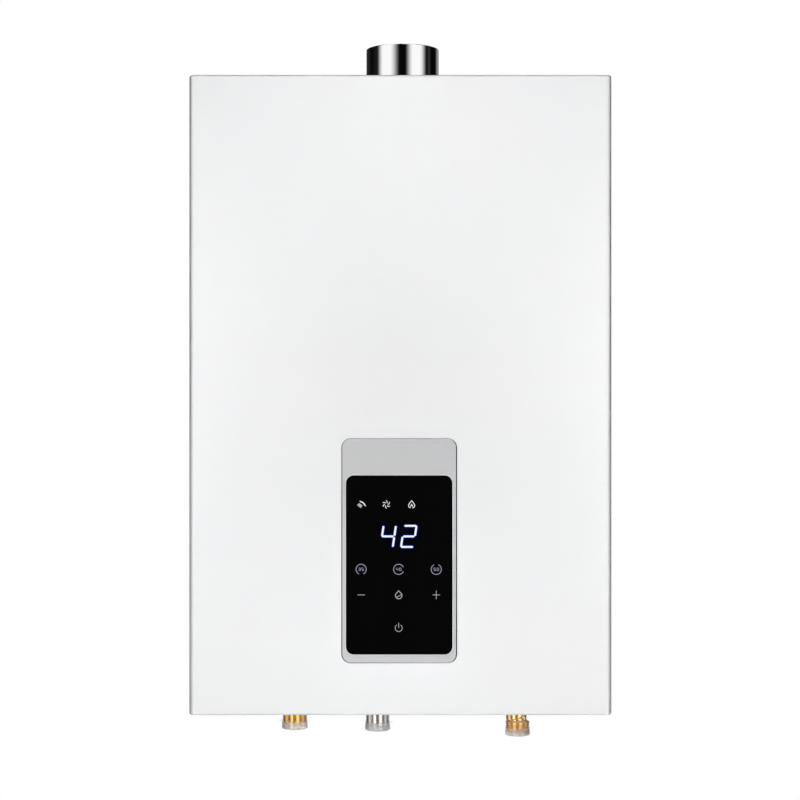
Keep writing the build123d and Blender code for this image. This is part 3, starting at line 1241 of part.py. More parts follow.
# Gas valve body: cast block on the gas inlet's flange, with two plunger bores and the outlet on top
valve_back = gas_depth - VALVE_BACK_MARGIN
valve_front = riser_depth + VALVE_FRONT_MARGIN
coil_depths = [gas_depth, gas_depth + COIL_PITCH]
seat_level = valve_top - PLUNGER_SEAT_DEPTH
with BuildPart() as gas_valve_body:
    with BuildSketch(level(flange_top)):
        with Locations((GAS_X, -(valve_back + valve_front) / 2)):
            RectangleRounded(VALVE_WIDTH, valve_front - valve_back, VALVE_CORNER)
    extrude(amount=VALVE_HEIGHT)
    chamfer(gas_valve_body.edges().group_by(Axis.Z)[-1], VALVE_EDGE)
    with BuildSketch(level(flange_top)):
        with Locations((GAS_X, -gas_depth)):
            Circle(socket_radius + SNUG)
            with GridLocations(connector_screw_span, 0, 2, 1):
                Circle(CONNECTOR_SCREW_HEAD_DIAMETER / 2 + SLIP)
    extrude(amount=SOCKET_HEIGHT + SLIP, mode=Mode.SUBTRACT)
    with BuildSketch(level(valve_top)):
        with Locations(*[(GAS_X, -depth) for depth in coil_depths]):
            Circle(PLUNGER_DIAMETER / 2 + SLIP)
    extrude(amount=-PLUNGER_SEAT_DEPTH, mode=Mode.SUBTRACT)
    with BuildSketch(level(valve_top)):
        with Locations((GAS_X, -riser_depth)):
            Circle(RISER_DIAMETER / 2 - RISER_WALL)
    extrude(amount=-PLUNGER_SEAT_DEPTH, mode=Mode.SUBTRACT)
gas_valve_body.part.label = "gas_valve_body"
export_step(gas_valve_body.part, "parts/gas_valve_body.step")

# Gas riser: straight tube from the valve to the manifold
with BuildPart() as gas_riser:
    with BuildSketch(level(valve_top)):
        with Locations((GAS_X, -riser_depth)):
            Circle(RISER_DIAMETER / 2)
            Circle(RISER_DIAMETER / 2 - RISER_WALL, mode=Mode.SUBTRACT)
    extrude(amount=jet_level - MANIFOLD_SIDE / 2 - valve_top)
gas_riser.part.label = "gas_riser"
export_step(gas_riser.part, "parts/gas_riser.step")

plunger_height = PLUNGER_SEAT_DEPTH + COIL_HEIGHT - COIL_CAP_SHEET - PLUNGER_TRAVEL - PLUNGER_HEAD_ROOM


def valve_coil(depth):
    """Solenoid coil on the valve, with a blind bore for its plunger."""
    with BuildPart() as coil:
        with BuildSketch(level(valve_top)):
            with Locations((GAS_X, -depth)):
                Circle(COIL_DIAMETER / 2)
        extrude(amount=COIL_HEIGHT)
        chamfer(coil.edges().group_by(Axis.Z)[-1], COIL_EDGE)
        with BuildSketch(level(valve_top)):
            with Locations((GAS_X, -depth)):
                Circle(PLUNGER_DIAMETER / 2 + SLIP)
        extrude(amount=COIL_HEIGHT - COIL_CAP_SHEET, mode=Mode.SUBTRACT)
    return coil.part


def valve_plunger(depth):
    """Soft-iron plunger that closes a seat in the valve and lifts into its coil."""
    with BuildPart() as plunger:
        with BuildSketch(level(seat_level + SLIP)):
            with Locations((GAS_X, -depth)):
                Circle(PLUNGER_DIAMETER / 2)
        extrude(amount=plunger_height - SLIP)
    return plunger.part


# Shut-off and modulating coils with their plungers
for name, depth in zip(("shutoff", "modulating"), coil_depths):
    coil = valve_coil(depth)
    coil.label = name + "_coil"
    export_step(coil, "parts/" + coil.label + ".step")
    plunger = valve_plunger(depth)
    plunger.label = name + "_plunger"
    export_step(plunger, "parts/" + plunger.label + ".step")

# Control box: plastic tray on the back, open to the front, with posts for its board
box_x = -chassis_width / 2 + CHASSIS_SHEET + BOX_SIDE_MARGIN + BOX_WIDTH / 2
box_floor = CHASSIS_SHEET + BOX_WALL
box_rim = CHASSIS_SHEET + BOX_DEPTH
post_spacing_x = BOX_WIDTH - 2 * (BOX_WALL + POST_INSET)
post_spacing_z = BOX_HEIGHT - 2 * (BOX_WALL + POST_INSET)
with BuildPart() as control_box:
    with BuildSketch(facing(CHASSIS_SHEET)):
        with Locations((box_x, BOX_Z)):
            RectangleRounded(BOX_WIDTH, BOX_HEIGHT, BOX_CORNER)
    extrude(amount=BOX_DEPTH)
    offset(amount=-BOX_WALL, openings=control_box.faces().sort_by(Axis.Y)[0])
    with BuildSketch(facing(box_floor)):
        with Locations((box_x, BOX_Z)):
            with GridLocations(post_spacing_x, post_spacing_z, 2, 2):
                Circle(POST_DIAMETER / 2)
    extrude(amount=POST_HEIGHT)
control_box.part.label = "control_box"
export_step(control_box.part, "parts/control_box.step")

# Control board: circuit board on the posts, with a column of relays
board_back = box_floor + POST_HEIGHT
with BuildPart() as control_board:
    board_width = BOX_WIDTH - 2 * (BOX_WALL + BOARD_EDGE_GAP)
    board_height = BOX_HEIGHT - 2 * (BOX_WALL + BOARD_EDGE_GAP)
    with BuildSketch(facing(board_back)):
        with Locations((box_x, BOX_Z)):
            RectangleRounded(board_width, board_height, BOX_CORNER - BOX_WALL)
    extrude(amount=BOARD_THICKNESS)
    with BuildSketch(facing(board_back + BOARD_THICKNESS)):
        with Locations((box_x, BOX_Z)):
            with GridLocations(0, RELAY_PITCH, 1, RELAY_COUNT):
                Rectangle(RELAY_WIDTH, RELAY_LENGTH)
    extrude(amount=RELAY_HEIGHT)
control_board.part.label = "control_board"
export_step(control_board.part, "parts/control_board.step")

# Control box lid
with BuildPart() as control_box_lid:
    with BuildSketch(facing(box_rim)):
        with Locations((box_x, BOX_Z)):
            RectangleRounded(BOX_WIDTH, BOX_HEIGHT, BOX_CORNER)
    extrude(amount=BOX_LID)
control_box_lid.part.label = "control_box_lid"
export_step(control_box_lid.part, "parts/control_box_lid.step")

# Transformer: laminated core with its winding
core_x = chassis_width / 2 - CHASSIS_SHEET - ELECTRICS_SIDE_MARGIN - CORE_WIDTH / 2
with BuildPart() as transformer:
    with BuildSketch(facing(CHASSIS_SHEET)):
        with Locations((core_x, CORE_Z)):
            Rectangle(CORE_WIDTH, CORE_HEIGHT)
    extrude(amount=CORE_DEPTH)
    with BuildSketch(facing(CHASSIS_SHEET)):
        with Locations((core_x, CORE_Z)):
            RectangleRounded(
                CORE_WIDTH - 2 * WINDING_MARGIN, CORE_HEIGHT - 2 * WINDING_MARGIN, WINDING_CORNER
            )
    extrude(amount=CORE_DEPTH + WINDING_PROUD)
transformer.part.label = "transformer"
export_step(transformer.part, "parts/transformer.step")

# Igniter: potted spark unit with two lead towers
igniter_x = chassis_width / 2 - CHASSIS_SHEET - ELECTRICS_SIDE_MARGIN - IGNITER_WIDTH / 2
with BuildPart() as igniter:
    with BuildSketch(facing(CHASSIS_SHEET)):
        with Locations((igniter_x, IGNITER_Z)):
            RectangleRounded(IGNITER_WIDTH, IGNITER_HEIGHT, IGNITER_EDGE)
    extrude(amount=IGNITER_DEPTH)
    fillet(igniter.edges().group_by(Axis.Y)[0], IGNITER_EDGE / 2)
    with BuildSketch(level(IGNITER_Z + IGNITER_HEIGHT / 2)):
        with Locations((igniter_x, -CHASSIS_SHEET - IGNITER_DEPTH / 2)):
            with GridLocations(IGNITER_TOWER_SPACING, 0, 2, 1):
                Circle(IGNITER_TOWER_DIAMETER / 2)
    extrude(amount=IGNITER_TOWER_HEIGHT, taper=IGNITER_TOWER_TAPER)
igniter.part.label = "igniter"
export_step(igniter.part, "parts/igniter.step")

# Cord gland: bushing in the bottom plate for the mains lead
with BuildPart() as cord_gland:
    with BuildSketch(level(-plate_face)):
        with Locations((gland_x, -GLAND_DEPTH)):
            Circle(GLAND_HEAD_DIAMETER / 2)
    extrude(amount=-GLAND_HEAD_HEIGHT)
    chamfer(cord_gland.edges().group_by(Axis.Z)[0], GLAND_EDGE)
    with BuildSketch(level(-plate_face)):
        with Locations((gland_x, -GLAND_DEPTH)):
            Circle(GLAND_DIAMETER / 2)
    extrude(amount=GLAND_STEM)
    with BuildSketch(level(-plate_face - GLAND_HEAD_HEIGHT)):
        with Locations((gland_x, -GLAND_DEPTH)):
            Circle(GLAND_BORE / 2)
    extrude(amount=GLAND_HEAD_HEIGHT + GLAND_STEM, mode=Mode.SUBTRACT)
cord_gland.part.label = "cord_gland"
export_step(cord_gland.part, "parts/cord_gland.step")

# Panel bezel: moulded frame on the cover's face, with a lens pocket and a skirt through the window
with BuildPart() as panel_bezel:
    with BuildSketch(facing(CASE_DEPTH)):
        with Locations((PANEL_SHIFT, panel_z)):
            RectangleRounded(BEZEL_WIDTH, BEZEL_HEIGHT, BEZEL_CORNER)
    extrude(amount=BEZEL_PROUD)
    fillet(panel_bezel.edges().group_by(Axis.Y)[0], BEZEL_EDGE)
    with BuildSketch(facing(skirt_back)):
        with Locations((PANEL_SHIFT, panel_z)):
            RectangleRounded(skirt_width, skirt_height, skirt_corner)
    extrude(amount=SKIRT_DEPTH)
    # Hollow behind the ledge
    with BuildSketch(facing(skirt_back)):
        with Locations((PANEL_SHIFT, panel_z)):
            RectangleRounded(
                skirt_width - 2 * BEZEL_WALL, skirt_height - 2 * BEZEL_WALL, skirt_corner - BEZEL_WALL
            )
    extrude(amount=ledge_back - skirt_back, mode=Mode.SUBTRACT)
    # Pocket for the lens and the light well behind it
    with BuildSketch(facing(lens_back)):
        with Locations((PANEL_SHIFT, lens_z)):
            RectangleRounded(lens_width, lens_height, LENS_CORNER)
    extrude(amount=bezel_face - lens_back, mode=Mode.SUBTRACT)
    with BuildSketch(facing(ledge_back)):
        with Locations((PANEL_SHIFT, lens_z)):
            RectangleRounded(
                lens_width - 2 * LENS_LEDGE, lens_height - 2 * LENS_LEDGE, LENS_CORNER - LENS_LEDGE / 2
            )
    extrude(amount=LEDGE_THICKNESS, mode=Mode.SUBTRACT)
panel_bezel.part.label = "panel_bezel"
export_step(panel_bezel.part, "parts/panel_bezel.step")

# Panel glass: black touch lens in the bezel's pocket
with BuildPart() as panel_glass:
    with BuildSketch(facing(lens_back)):
        with Locations((PANEL_SHIFT, lens_z)):
            RectangleRounded(lens_width - 2 * SNUG, lens_height - 2 * SNUG, LENS_CORNER - SNUG)
    extrude(amount=LENS_THICKNESS)
    chamfer(panel_glass.edges().group_by(Axis.Y)[0], LENS_EDGE)
panel_glass.part.label = "panel_glass"
export_step(panel_glass.part, "parts/panel_glass.step")

# Touch film bonded behind the glass
film_width = lens_width - 2 * LENS_LEDGE - 2 * SLIP
film_height = lens_height - 2 * LENS_LEDGE - 2 * SLIP
with BuildPart() as touch_film:
    with BuildSketch(facing(film_back)):
        with Locations((PANEL_SHIFT, lens_z)):
            RectangleRounded(film_width, film_height, LENS_CORNER - LENS_LEDGE / 2 - SLIP)
    extrude(amount=FILM_THICKNESS)
touch_film.part.label = "touch_film"
export_step(touch_film.part, "parts/touch_film.step")

# Panel housing: cup slipped over the skirt from inside, it clamps the cover's sheet
display_back = housing_floor + HOUSING_POST
with BuildPart() as panel_housing:
    cup_width = skirt_width + 2 * (SLIP + HOUSING_WALL)
    cup_height = skirt_height + 2 * (SLIP + HOUSING_WALL)
    with BuildSketch(facing(housing_floor - HOUSING_WALL)):
        with Locations((PANEL_SHIFT, panel_z)):
            RectangleRounded(cup_width, cup_height, skirt_corner + SLIP + HOUSING_WALL)
    extrude(amount=cover_inner_depth - housing_floor + HOUSING_WALL)
    with BuildSketch(facing(housing_floor)):
        with Locations((PANEL_SHIFT, panel_z)):
            RectangleRounded(skirt_width + 2 * SLIP, skirt_height + 2 * SLIP, skirt_corner + SLIP)
    extrude(amount=cover_inner_depth - housing_floor, mode=Mode.SUBTRACT)
    # Posts under the display board
    board_spacing_x = skirt_width - 2 * (BEZEL_WALL + POST_INSET + SLIP)
    board_spacing_z = skirt_height - 2 * (BEZEL_WALL + POST_INSET + SLIP)
    with BuildSketch(facing(housing_floor)):
        with Locations((PANEL_SHIFT, panel_z)):
            with GridLocations(board_spacing_x, board_spacing_z, 2, 2):
                Circle(POST_DIAMETER / 2)
    extrude(amount=HOUSING_POST)
panel_housing.part.label = "panel_housing"
export_step(panel_housing.part, "parts/panel_housing.step")

# Display board on the housing's posts
with BuildPart() as display_board:
    board_width = skirt_width - 2 * (BEZEL_WALL + BOARD_EDGE_GAP)
    board_height = skirt_height - 2 * (BEZEL_WALL + BOARD_EDGE_GAP)
    with BuildSketch(facing(display_back)):
        with Locations((PANEL_SHIFT, panel_z)):
            Rectangle(board_width, board_height)
    extrude(amount=BOARD_THICKNESS)
display_board.part.label = "display_board"
export_step(display_board.part, "parts/display_board.step")

# Digit module: light box of the two temperature digits, between board and film
digits_z = lens_z + lens_height / 2 - DIGITS_DROP
with BuildPart() as digit_module:
    with BuildSketch(facing(display_back + BOARD_THICKNESS)):
        with Locations((PANEL_SHIFT, digits_z)):
            Rectangle(DIGITS_WIDTH, DIGITS_HEIGHT)
    extrude(amount=film_back - SLIP - display_back - BOARD_THICKNESS)
digit_module.part.label = "digit_module"
export_step(digit_module.part, "parts/digit_module.step")
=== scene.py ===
import math

import bmesh
import bpy
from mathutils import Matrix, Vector


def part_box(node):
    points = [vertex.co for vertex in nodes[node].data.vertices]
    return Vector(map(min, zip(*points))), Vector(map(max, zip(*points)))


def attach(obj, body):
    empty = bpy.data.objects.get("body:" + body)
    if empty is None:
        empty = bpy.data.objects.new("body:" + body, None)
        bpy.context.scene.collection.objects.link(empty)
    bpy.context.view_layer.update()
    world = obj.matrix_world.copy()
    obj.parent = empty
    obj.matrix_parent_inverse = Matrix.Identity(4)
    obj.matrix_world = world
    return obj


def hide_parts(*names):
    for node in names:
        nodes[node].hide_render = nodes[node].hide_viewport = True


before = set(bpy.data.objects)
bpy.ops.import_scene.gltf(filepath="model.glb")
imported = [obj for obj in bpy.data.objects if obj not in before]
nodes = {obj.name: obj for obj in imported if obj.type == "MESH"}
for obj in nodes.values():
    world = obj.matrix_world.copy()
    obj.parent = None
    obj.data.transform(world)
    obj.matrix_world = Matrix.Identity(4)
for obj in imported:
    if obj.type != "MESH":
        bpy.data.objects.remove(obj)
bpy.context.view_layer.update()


# Back chassis: one folded sheet that hangs on the wall and carries everything.
# Hot-dip galvanised steel, so its zinc has crystallised in flat spangles.
def new_finish(name, colour, roughness, metallic=0.0):
    """A principled material with its plain values on the shader's own sockets."""
    material = bpy.data.materials.new(name)
    material.use_nodes = True
    shader = material.node_tree.nodes["Principled BSDF"]
    shader.inputs["Base Color"].default_value = (*colour, 1.0)
    shader.inputs["Roughness"].default_value = roughness
    shader.inputs["Metallic"].default_value = metallic
    return material, material.node_tree, shader


def add_pattern(tree, kind, scale, stretch=(1.0, 1.0, 1.0)):
    """A texture on the piece's own coordinates, stretched along its axes."""
    place = tree.nodes.new("ShaderNodeTexCoord")
    mapping = tree.nodes.new("ShaderNodeMapping")
    mapping.inputs["Scale"].default_value = stretch
    texture = tree.nodes.new(kind)
    texture.inputs["Scale"].default_value = scale
    tree.links.new(place.outputs["Object"], mapping.inputs["Vector"])
    tree.links.new(mapping.outputs["Vector"], texture.inputs["Vector"])
    return texture


def vary_colour(tree, shader, pattern, low, high):
    """Base colour that follows the pattern from one tone to the other."""
    ramp = tree.nodes.new("ShaderNodeValToRGB")
    ramp.color_ramp.elements[0].color = (*low, 1.0)
    ramp.color_ramp.elements[1].color = (*high, 1.0)
    tree.links.new(pattern, ramp.inputs["Fac"])
    tree.links.new(ramp.outputs["Color"], shader.inputs["Base Color"])


def vary_roughness(tree, shader, pattern, low, high):
    """Roughness that follows the pattern from one value to the other."""
    span = tree.nodes.new("ShaderNodeMapRange")
    span.inputs["To Min"].default_value = low
    span.inputs["To Max"].default_value = high
    tree.links.new(pattern, span.inputs["Value"])
    tree.links.new(span.outputs["Result"], shader.inputs["Roughness"])


def add_relief(tree, shader, pattern, strength, height):
    """Fine bumps that follow the pattern, of the given height."""
    bump = tree.nodes.new("ShaderNodeBump")
    bump.inputs["Strength"].default_value = strength
    bump.inputs["Distance"].default_value = height
    tree.links.new(pattern, bump.inputs["Height"])
    tree.links.new(bump.outputs["Normal"], shader.inputs["Normal"])


def finish_nodes(material, *names):
    """Give the named pieces this finish and no other."""
    for name in names:
        nodes[name].data.materials.clear()
        nodes[name].data.materials.append(material)


galvanised, tree, shader = new_finish("galvanised_sheet", (0.55, 0.56, 0.58), 0.4, metallic=0.85)
spangle = add_pattern(tree, "ShaderNodeTexVoronoi", 70.0)
vary_colour(tree, shader, spangle.outputs["Color"], (0.46, 0.47, 0.49), (0.62, 0.63, 0.65))
vary_roughness(tree, shader, spangle.outputs["Distance"], 0.3, 0.5)
finish_nodes(galvanised, "back_chassis")


# Front cover: a pan pressed from one sheet, with full-depth sides and short lips.
# Steel with a smooth white powder coat, which has a very faint orange-peel skin.
powder_coat, tree, shader = new_finish("white_powder_coat", (0.87, 0.87, 0.875), 0.34)
cloud = add_pattern(tree, "ShaderNodeTexNoise", 9.0)
vary_colour(tree, shader, cloud.outputs["Fac"], (0.862, 0.862, 0.867), (0.878, 0.878, 0.883))
peel = add_pattern(tree, "ShaderNodeTexNoise", 900.0)
add_relief(tree, shader, peel.outputs["Fac"], 0.04, 0.0002)
shader.inputs["Coat Weight"].default_value = 0.6
shader.inputs["Coat Roughness"].default_value = 0.2
finish_nodes(powder_coat, "front_cover")


# Screws of the cover's lips and of the flue flange: zinc-plated pan heads with a cross recess.
# Each row is one tree that cuts the recess, sets a screw on every point and joins them.
zinc, tree, shader = new_finish("zinc_plate", (0.6, 0.6, 0.6), 0.32, metallic=1.0)
brushing = add_pattern(tree, "ShaderNodeTexNoise", 600.0)
vary_roughness(tree, shader, brushing.outputs["Fac"], 0.24, 0.42)


def add_size(group, name):
    """A length or angle that each row of screws is given."""
    return group.interface.new_socket(name, in_out="INPUT", socket_type="NodeSocketFloat")


screw_rows = bpy.data.node_groups.new("screw_rows", "GeometryNodeTree")
screw_rows.interface.new_socket("Geometry", in_out="OUTPUT", socket_type="NodeSocketGeometry")
screw_rows.interface.new_socket("Points", in_out="INPUT", socket_type="NodeSocketGeometry")
SCREW_SIZE_NAMES = (
    "Head Radius", "Crown Radius", "Head Height", "Recess Length", "Recess Width", "Recess Depth", "Turn")
screw_sizes = {name: add_size(screw_rows, name) for name in SCREW_SIZE_NAMES}
HEAD_SIDES = 40
given = screw_rows.nodes.new("NodeGroupInput")
result = screw_rows.nodes.new("NodeGroupOutput")
head = screw_rows.nodes.new("GeometryNodeMeshCone")
head.inputs["Vertices"].default_value = HEAD_SIDES
screw_rows.links.new(given.outputs["Crown Radius"], head.inputs["Radius Top"])
screw_rows.links.new(given.outputs["Head Radius"], head.inputs["Radius Bottom"])
screw_rows.links.new(given.outputs["Head Height"], head.inputs["Depth"])
recess = screw_rows.nodes.new("GeometryNodeJoinGeometry")
for long_side, short_side in (("X", "Y"), ("Y", "X")):
    size = screw_rows.nodes.new("ShaderNodeCombineXYZ")
    screw_rows.links.new(given.outputs["Recess Length"], size.inputs[long_side])
    screw_rows.links.new(given.outputs["Recess Width"], size.inputs[short_side])
    screw_rows.links.new(given.outputs["Recess Depth"], size.inputs["Z"])
    bar = screw_rows.nodes.new("GeometryNodeMeshCube")
    screw_rows.links.new(size.outputs["Vector"], bar.inputs["Size"])
    screw_rows.links.new(bar.outputs["Mesh"], recess.inputs["Geometry"])
lift = screw_rows.nodes.new("ShaderNodeCombineXYZ")
screw_rows.links.new(given.outputs["Head Height"], lift.inputs["Z"])
raised = screw_rows.nodes.new("GeometryNodeTransform")
screw_rows.links.new(recess.outputs["Geometry"], raised.inputs["Geometry"])
screw_rows.links.new(lift.outputs["Vector"], raised.inputs["Translation"])
cut = screw_rows.nodes.new("GeometryNodeMeshBoolean")
cut.operation = "DIFFERENCE"
screw_rows.links.new(head.outputs["Mesh"], cut.inputs["Mesh 1"])
screw_rows.links.new(raised.outputs["Geometry"], cut.inputs["Mesh 2"])
turned = screw_rows.nodes.new("ShaderNodeCombineXYZ")
screw_rows.links.new(given.outputs["Turn"], turned.inputs["X"])
placed = screw_rows.nodes.new("GeometryNodeInstanceOnPoints")
screw_rows.links.new(given.outputs["Points"], placed.inputs["Points"])
screw_rows.links.new(cut.outputs["Mesh"], placed.inputs["Instance"])
screw_rows.links.new(turned.outputs["Vector"], placed.inputs["Rotation"])
joined = screw_rows.nodes.new("GeometryNodeRealizeInstances")
screw_rows.links.new(placed.outputs["Instances"], joined.inputs["Geometry"])
plated = screw_rows.nodes.new("GeometryNodeSetMaterial")
plated.inputs["Material"].default_value = zinc
screw_rows.links.new(joined.outputs["Geometry"], plated.inputs["Geometry"])
screw_rows.links.new(plated.outputs["Geometry"], result.inputs["Geometry"])


def mesh_object(name, mesh):
    """A piece of the scene with the given mesh."""
    piece = bpy.data.objects.new(name, mesh)
    bpy.context.scene.collection.objects.link(piece)
    return piece


def screw_row(name, places, sizes):
    """Screws on the given points, as a plain mesh."""
    points = bpy.data.meshes.new(name + "_points")
    points.from_pydata(places, [], [])
    row = mesh_object(name + "_points", points)
    modifier = row.modifiers.new("screws", "NODES")
    modifier.node_group = screw_rows
    for label, value in sizes.items():
        modifier[screw_sizes[label].identifier] = value
    evaluated = row.evaluated_get(bpy.context.evaluated_depsgraph_get())
    mesh = bpy.data.meshes.new_from_object(evaluated)
    bpy.data.objects.remove(row)
    mesh.materials.clear()
    mesh.materials.append(zinc)
    return mesh_object(name, mesh)


low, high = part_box("cover_screws")
cover_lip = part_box("front_cover")[1].z
cover_screw = {
    "Head Radius": 0.004, "Crown Radius": 0.0033, "Head Height": high.z - cover_lip,
    "Recess Length": 0.0042, "Recess Width": 0.0009, "Recess Depth": 0.0024, "Turn": 0.0,
}
screw_x = high.x - cover_screw["Head Radius"]
screw_y = (low.y + high.y) / 2
row_places = [(-screw_x, screw_y, cover_lip), (screw_x, screw_y, cover_lip)]
top_screws = screw_row("cover_screws_top", row_places, cover_screw)
bottom_places = [(x, y, -z) for x, y, z in row_places]
bottom_screws = screw_row("cover_screws_bottom", bottom_places, {**cover_screw, "Turn": math.pi})
for row in (top_screws, bottom_screws):
    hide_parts("cover_screws")
    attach(row, "casing")

flue_screw = {
    "Head Radius": 0.00325, "Crown Radius": 0.0027, "Head Height": 0.0018,
    "Recess Length": 0.0034, "Recess Width": 0.0008, "Recess Depth": 0.0022, "Turn": 0.0,
}
low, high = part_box("flue_screws")
flange_top = high.z - flue_screw["Head Height"]
near_side = flue_screw["Head Radius"]
flue_places = [
    (x, y, flange_top)
    for x in (low.x + near_side, high.x - near_side)
    for y in (low.y + near_side, high.y - near_side)
]
flue_screws = screw_row("flue_screw_heads", flue_places, flue_screw)
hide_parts("flue_screws")
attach(flue_screws, "casing")


# Flue collar: a drawn tube with a bolting flange, on a rubber gasket.
# Stainless steel, mirror polished, with faint lines round it from the polishing wheel.
polished, tree, shader = new_finish("polished_stainless", (0.95, 0.95, 0.955), 0.05, metallic=1.0)
wheel_lines = add_pattern(tree, "ShaderNodeTexNoise", 60.0, stretch=(1.0, 1.0, 40.0))
vary_roughness(tree, shader, wheel_lines.outputs["Fac"], 0.03, 0.07)
finish_nodes(polished, "flue_collar")

rubber, tree, shader = new_finish("black_rubber", (0.025, 0.025, 0.025), 0.7)
rubber_skin = add_pattern(tree, "ShaderNodeTexNoise", 500.0)
vary_roughness(tree, shader, rubber_skin.outputs["Fac"], 0.6, 0.85)
add_relief(tree, shader, rubber_skin.outputs["Fac"], 0.15, 0.0003)
finish_nodes(rubber, "flue_gasket", "cord_gland")


# Exhaust, burner and their sheet-metal neighbours: pressed and spot-welded plain sheet.
# Mill-finish steel with the grain of the rolling.
mill_steel, tree, shader = new_finish("mill_steel", (0.5, 0.5, 0.5), 0.4, metallic=0.95)
rolling = add_pattern(tree, "ShaderNodeTexNoise", 40.0, stretch=(1.0, 1.0, 25.0))
vary_colour(tree, shader, rolling.outputs["Fac"], (0.44, 0.44, 0.44), (0.55, 0.55, 0.56))
vary_roughness(tree, shader, rolling.outputs["Fac"], 0.32, 0.5)
finish_nodes(
    mill_steel, "smoke_hood", "fan_scroll", "fan_front_plate", "outlet_spigot", "exchanger_brackets",
    "burner_frame", "burner_bars", "motor_shaft", "shutoff_plunger", "modulating_plunger", "motor_screws",
    "connector_screws",
)

# Fan wheel, valve block and gas tubes: light alloy, die cast or drawn.
# Cast aluminium has a fine sandy skin.
cast_alloy, tree, shader = new_finish("cast_aluminium", (0.7, 0.7, 0.72), 0.45, metallic=1.0)
sand = add_pattern(tree, "ShaderNodeTexNoise", 700.0)
vary_roughness(tree, shader, sand.outputs["Fac"], 0.38, 0.6)
add_relief(tree, shader, sand.outputs["Fac"], 0.12, 0.0002)
finish_nodes(cast_alloy, "fan_wheel", "gas_valve_body", "gas_manifold", "gas_riser")

# Motor can, transformer and coils: drawn steel and copper windings, dipped in black lacquer.
# The lacquer is thin and has caught a little dust.
lacquer, tree, shader = new_finish("black_lacquer", (0.04, 0.04, 0.042), 0.35)
dust = add_pattern(tree, "ShaderNodeTexNoise", 120.0)
vary_colour(tree, shader, dust.outputs["Fac"], (0.03, 0.03, 0.032), (0.06, 0.06, 0.062))
vary_roughness(tree, shader, dust.outputs["Fac"], 0.28, 0.45)
finish_nodes(lacquer, "fan_motor", "transformer", "shutoff_coil", "modulating_coil")

# Heat exchanger and water pipes: copper sheet, fins and bent tube, brazed together.
# The heat has left its colours in soft patches.
copper, tree, shader = new_finish("brazed_copper", (0.72, 0.36, 0.2), 0.3, metallic=1.0)
heat = add_pattern(tree, "ShaderNodeTexNoise", 18.0)
vary_colour(tree, shader, heat.outputs["Fac"], (0.6, 0.27, 0.14), (0.8, 0.43, 0.26))
vary_roughness(tree, shader, heat.outputs["Fac"], 0.24, 0.42)
finish_nodes(copper, "exchanger_box", "exchanger_fins", "exchanger_tube", "cold_pipe", "hot_pipe")

# Moulded pieces inside the casing: switches, boxes, the flow turbine and the panel's housing.
# Dark plastic from a spark-eroded mould, which gives it a fine matt skin.
moulded, tree, shader = new_finish("dark_moulding", (0.1, 0.1, 0.105), 0.5)
eroded = add_pattern(tree, "ShaderNodeTexNoise", 1100.0)
vary_roughness(tree, shader, eroded.outputs["Fac"], 0.42, 0.62)
add_relief(tree, shader, eroded.outputs["Fac"], 0.1, 0.0002)
finish_nodes(
    moulded, "pressure_switch", "overheat_cutouts", "flow_pickup", "flow_turbine", "inlet_strainer",
    "control_box", "control_box_lid", "igniter", "panel_housing", "digit_module",
)

# Electrodes: sleeves that carry the spark and flame pins to the burner.
# Ceramic with a pale, slightly uneven glaze.
ceramic, tree, shader = new_finish("glazed_ceramic", (0.86, 0.83, 0.78), 0.2)
glaze = add_pattern(tree, "ShaderNodeTexNoise", 90.0)
vary_colour(tree, shader, glaze.outputs["Fac"], (0.82, 0.79, 0.73), (0.9, 0.88, 0.84))
finish_nodes(ceramic, "electrodes")

# Circuit boards and touch film: flat boards behind the panel and in the control box.
# Glass-fibre laminate, whose weave shows faintly through the green solder mask.
laminate, tree, shader = new_finish("green_laminate", (0.03, 0.2, 0.09), 0.4)
weave = add_pattern(tree, "ShaderNodeTexChecker", 1200.0)
vary_colour(tree, shader, weave.outputs["Fac"], (0.025, 0.17, 0.075), (0.035, 0.22, 0.1))
finish_nodes(laminate, "control_board", "display_board", "touch_film")


# Panel bezel: one moulded frame round the touch glass, clipped in the cover's window.
# Silver paint with fine flake and a faint brushing over plastic. A plated edge runs round the outside,
# and round the glass a cut edge whose pale colour is a painted highlight.
CORNER_STEPS = 8
CORNER_SIDES = ((1, 1), (-1, 1), (-1, -1), (1, -1))


def panel_loop(mesh, width, height, corner, centre, depth):
    """A rounded rectangle parallel to the front, as a ring of points."""
    ring = []
    for quarter, (side_x, side_z) in enumerate(CORNER_SIDES):
        for step in range(CORNER_STEPS + 1):
            angle = math.radians(90.0 * (quarter + step / CORNER_STEPS))
            x = centre[0] + side_x * (width / 2 - corner) + corner * math.cos(angle)
            z = centre[1] + side_z * (height / 2 - corner) + corner * math.sin(angle)
            ring.append(mesh.verts.new((x, depth, z)))
    return ring


def skin(mesh, loops):
    """Faces between each loop and the next."""
    for first, second in zip(loops, loops[1:]):
        for index in range(len(first)):
            follow = (index + 1) % len(first)
            mesh.faces.new((first[index], first[follow], second[follow], second[index]))


def finished_mesh(name, mesh, material):
    """The built mesh as a piece of the scene, its faces turned outwards."""
    bmesh.ops.recalc_face_normals(mesh, faces=mesh.faces)
    data = bpy.data.meshes.new(name)
    mesh.to_mesh(data)
    mesh.free()
    data.materials.append(material)
    return mesh_object(name, data)


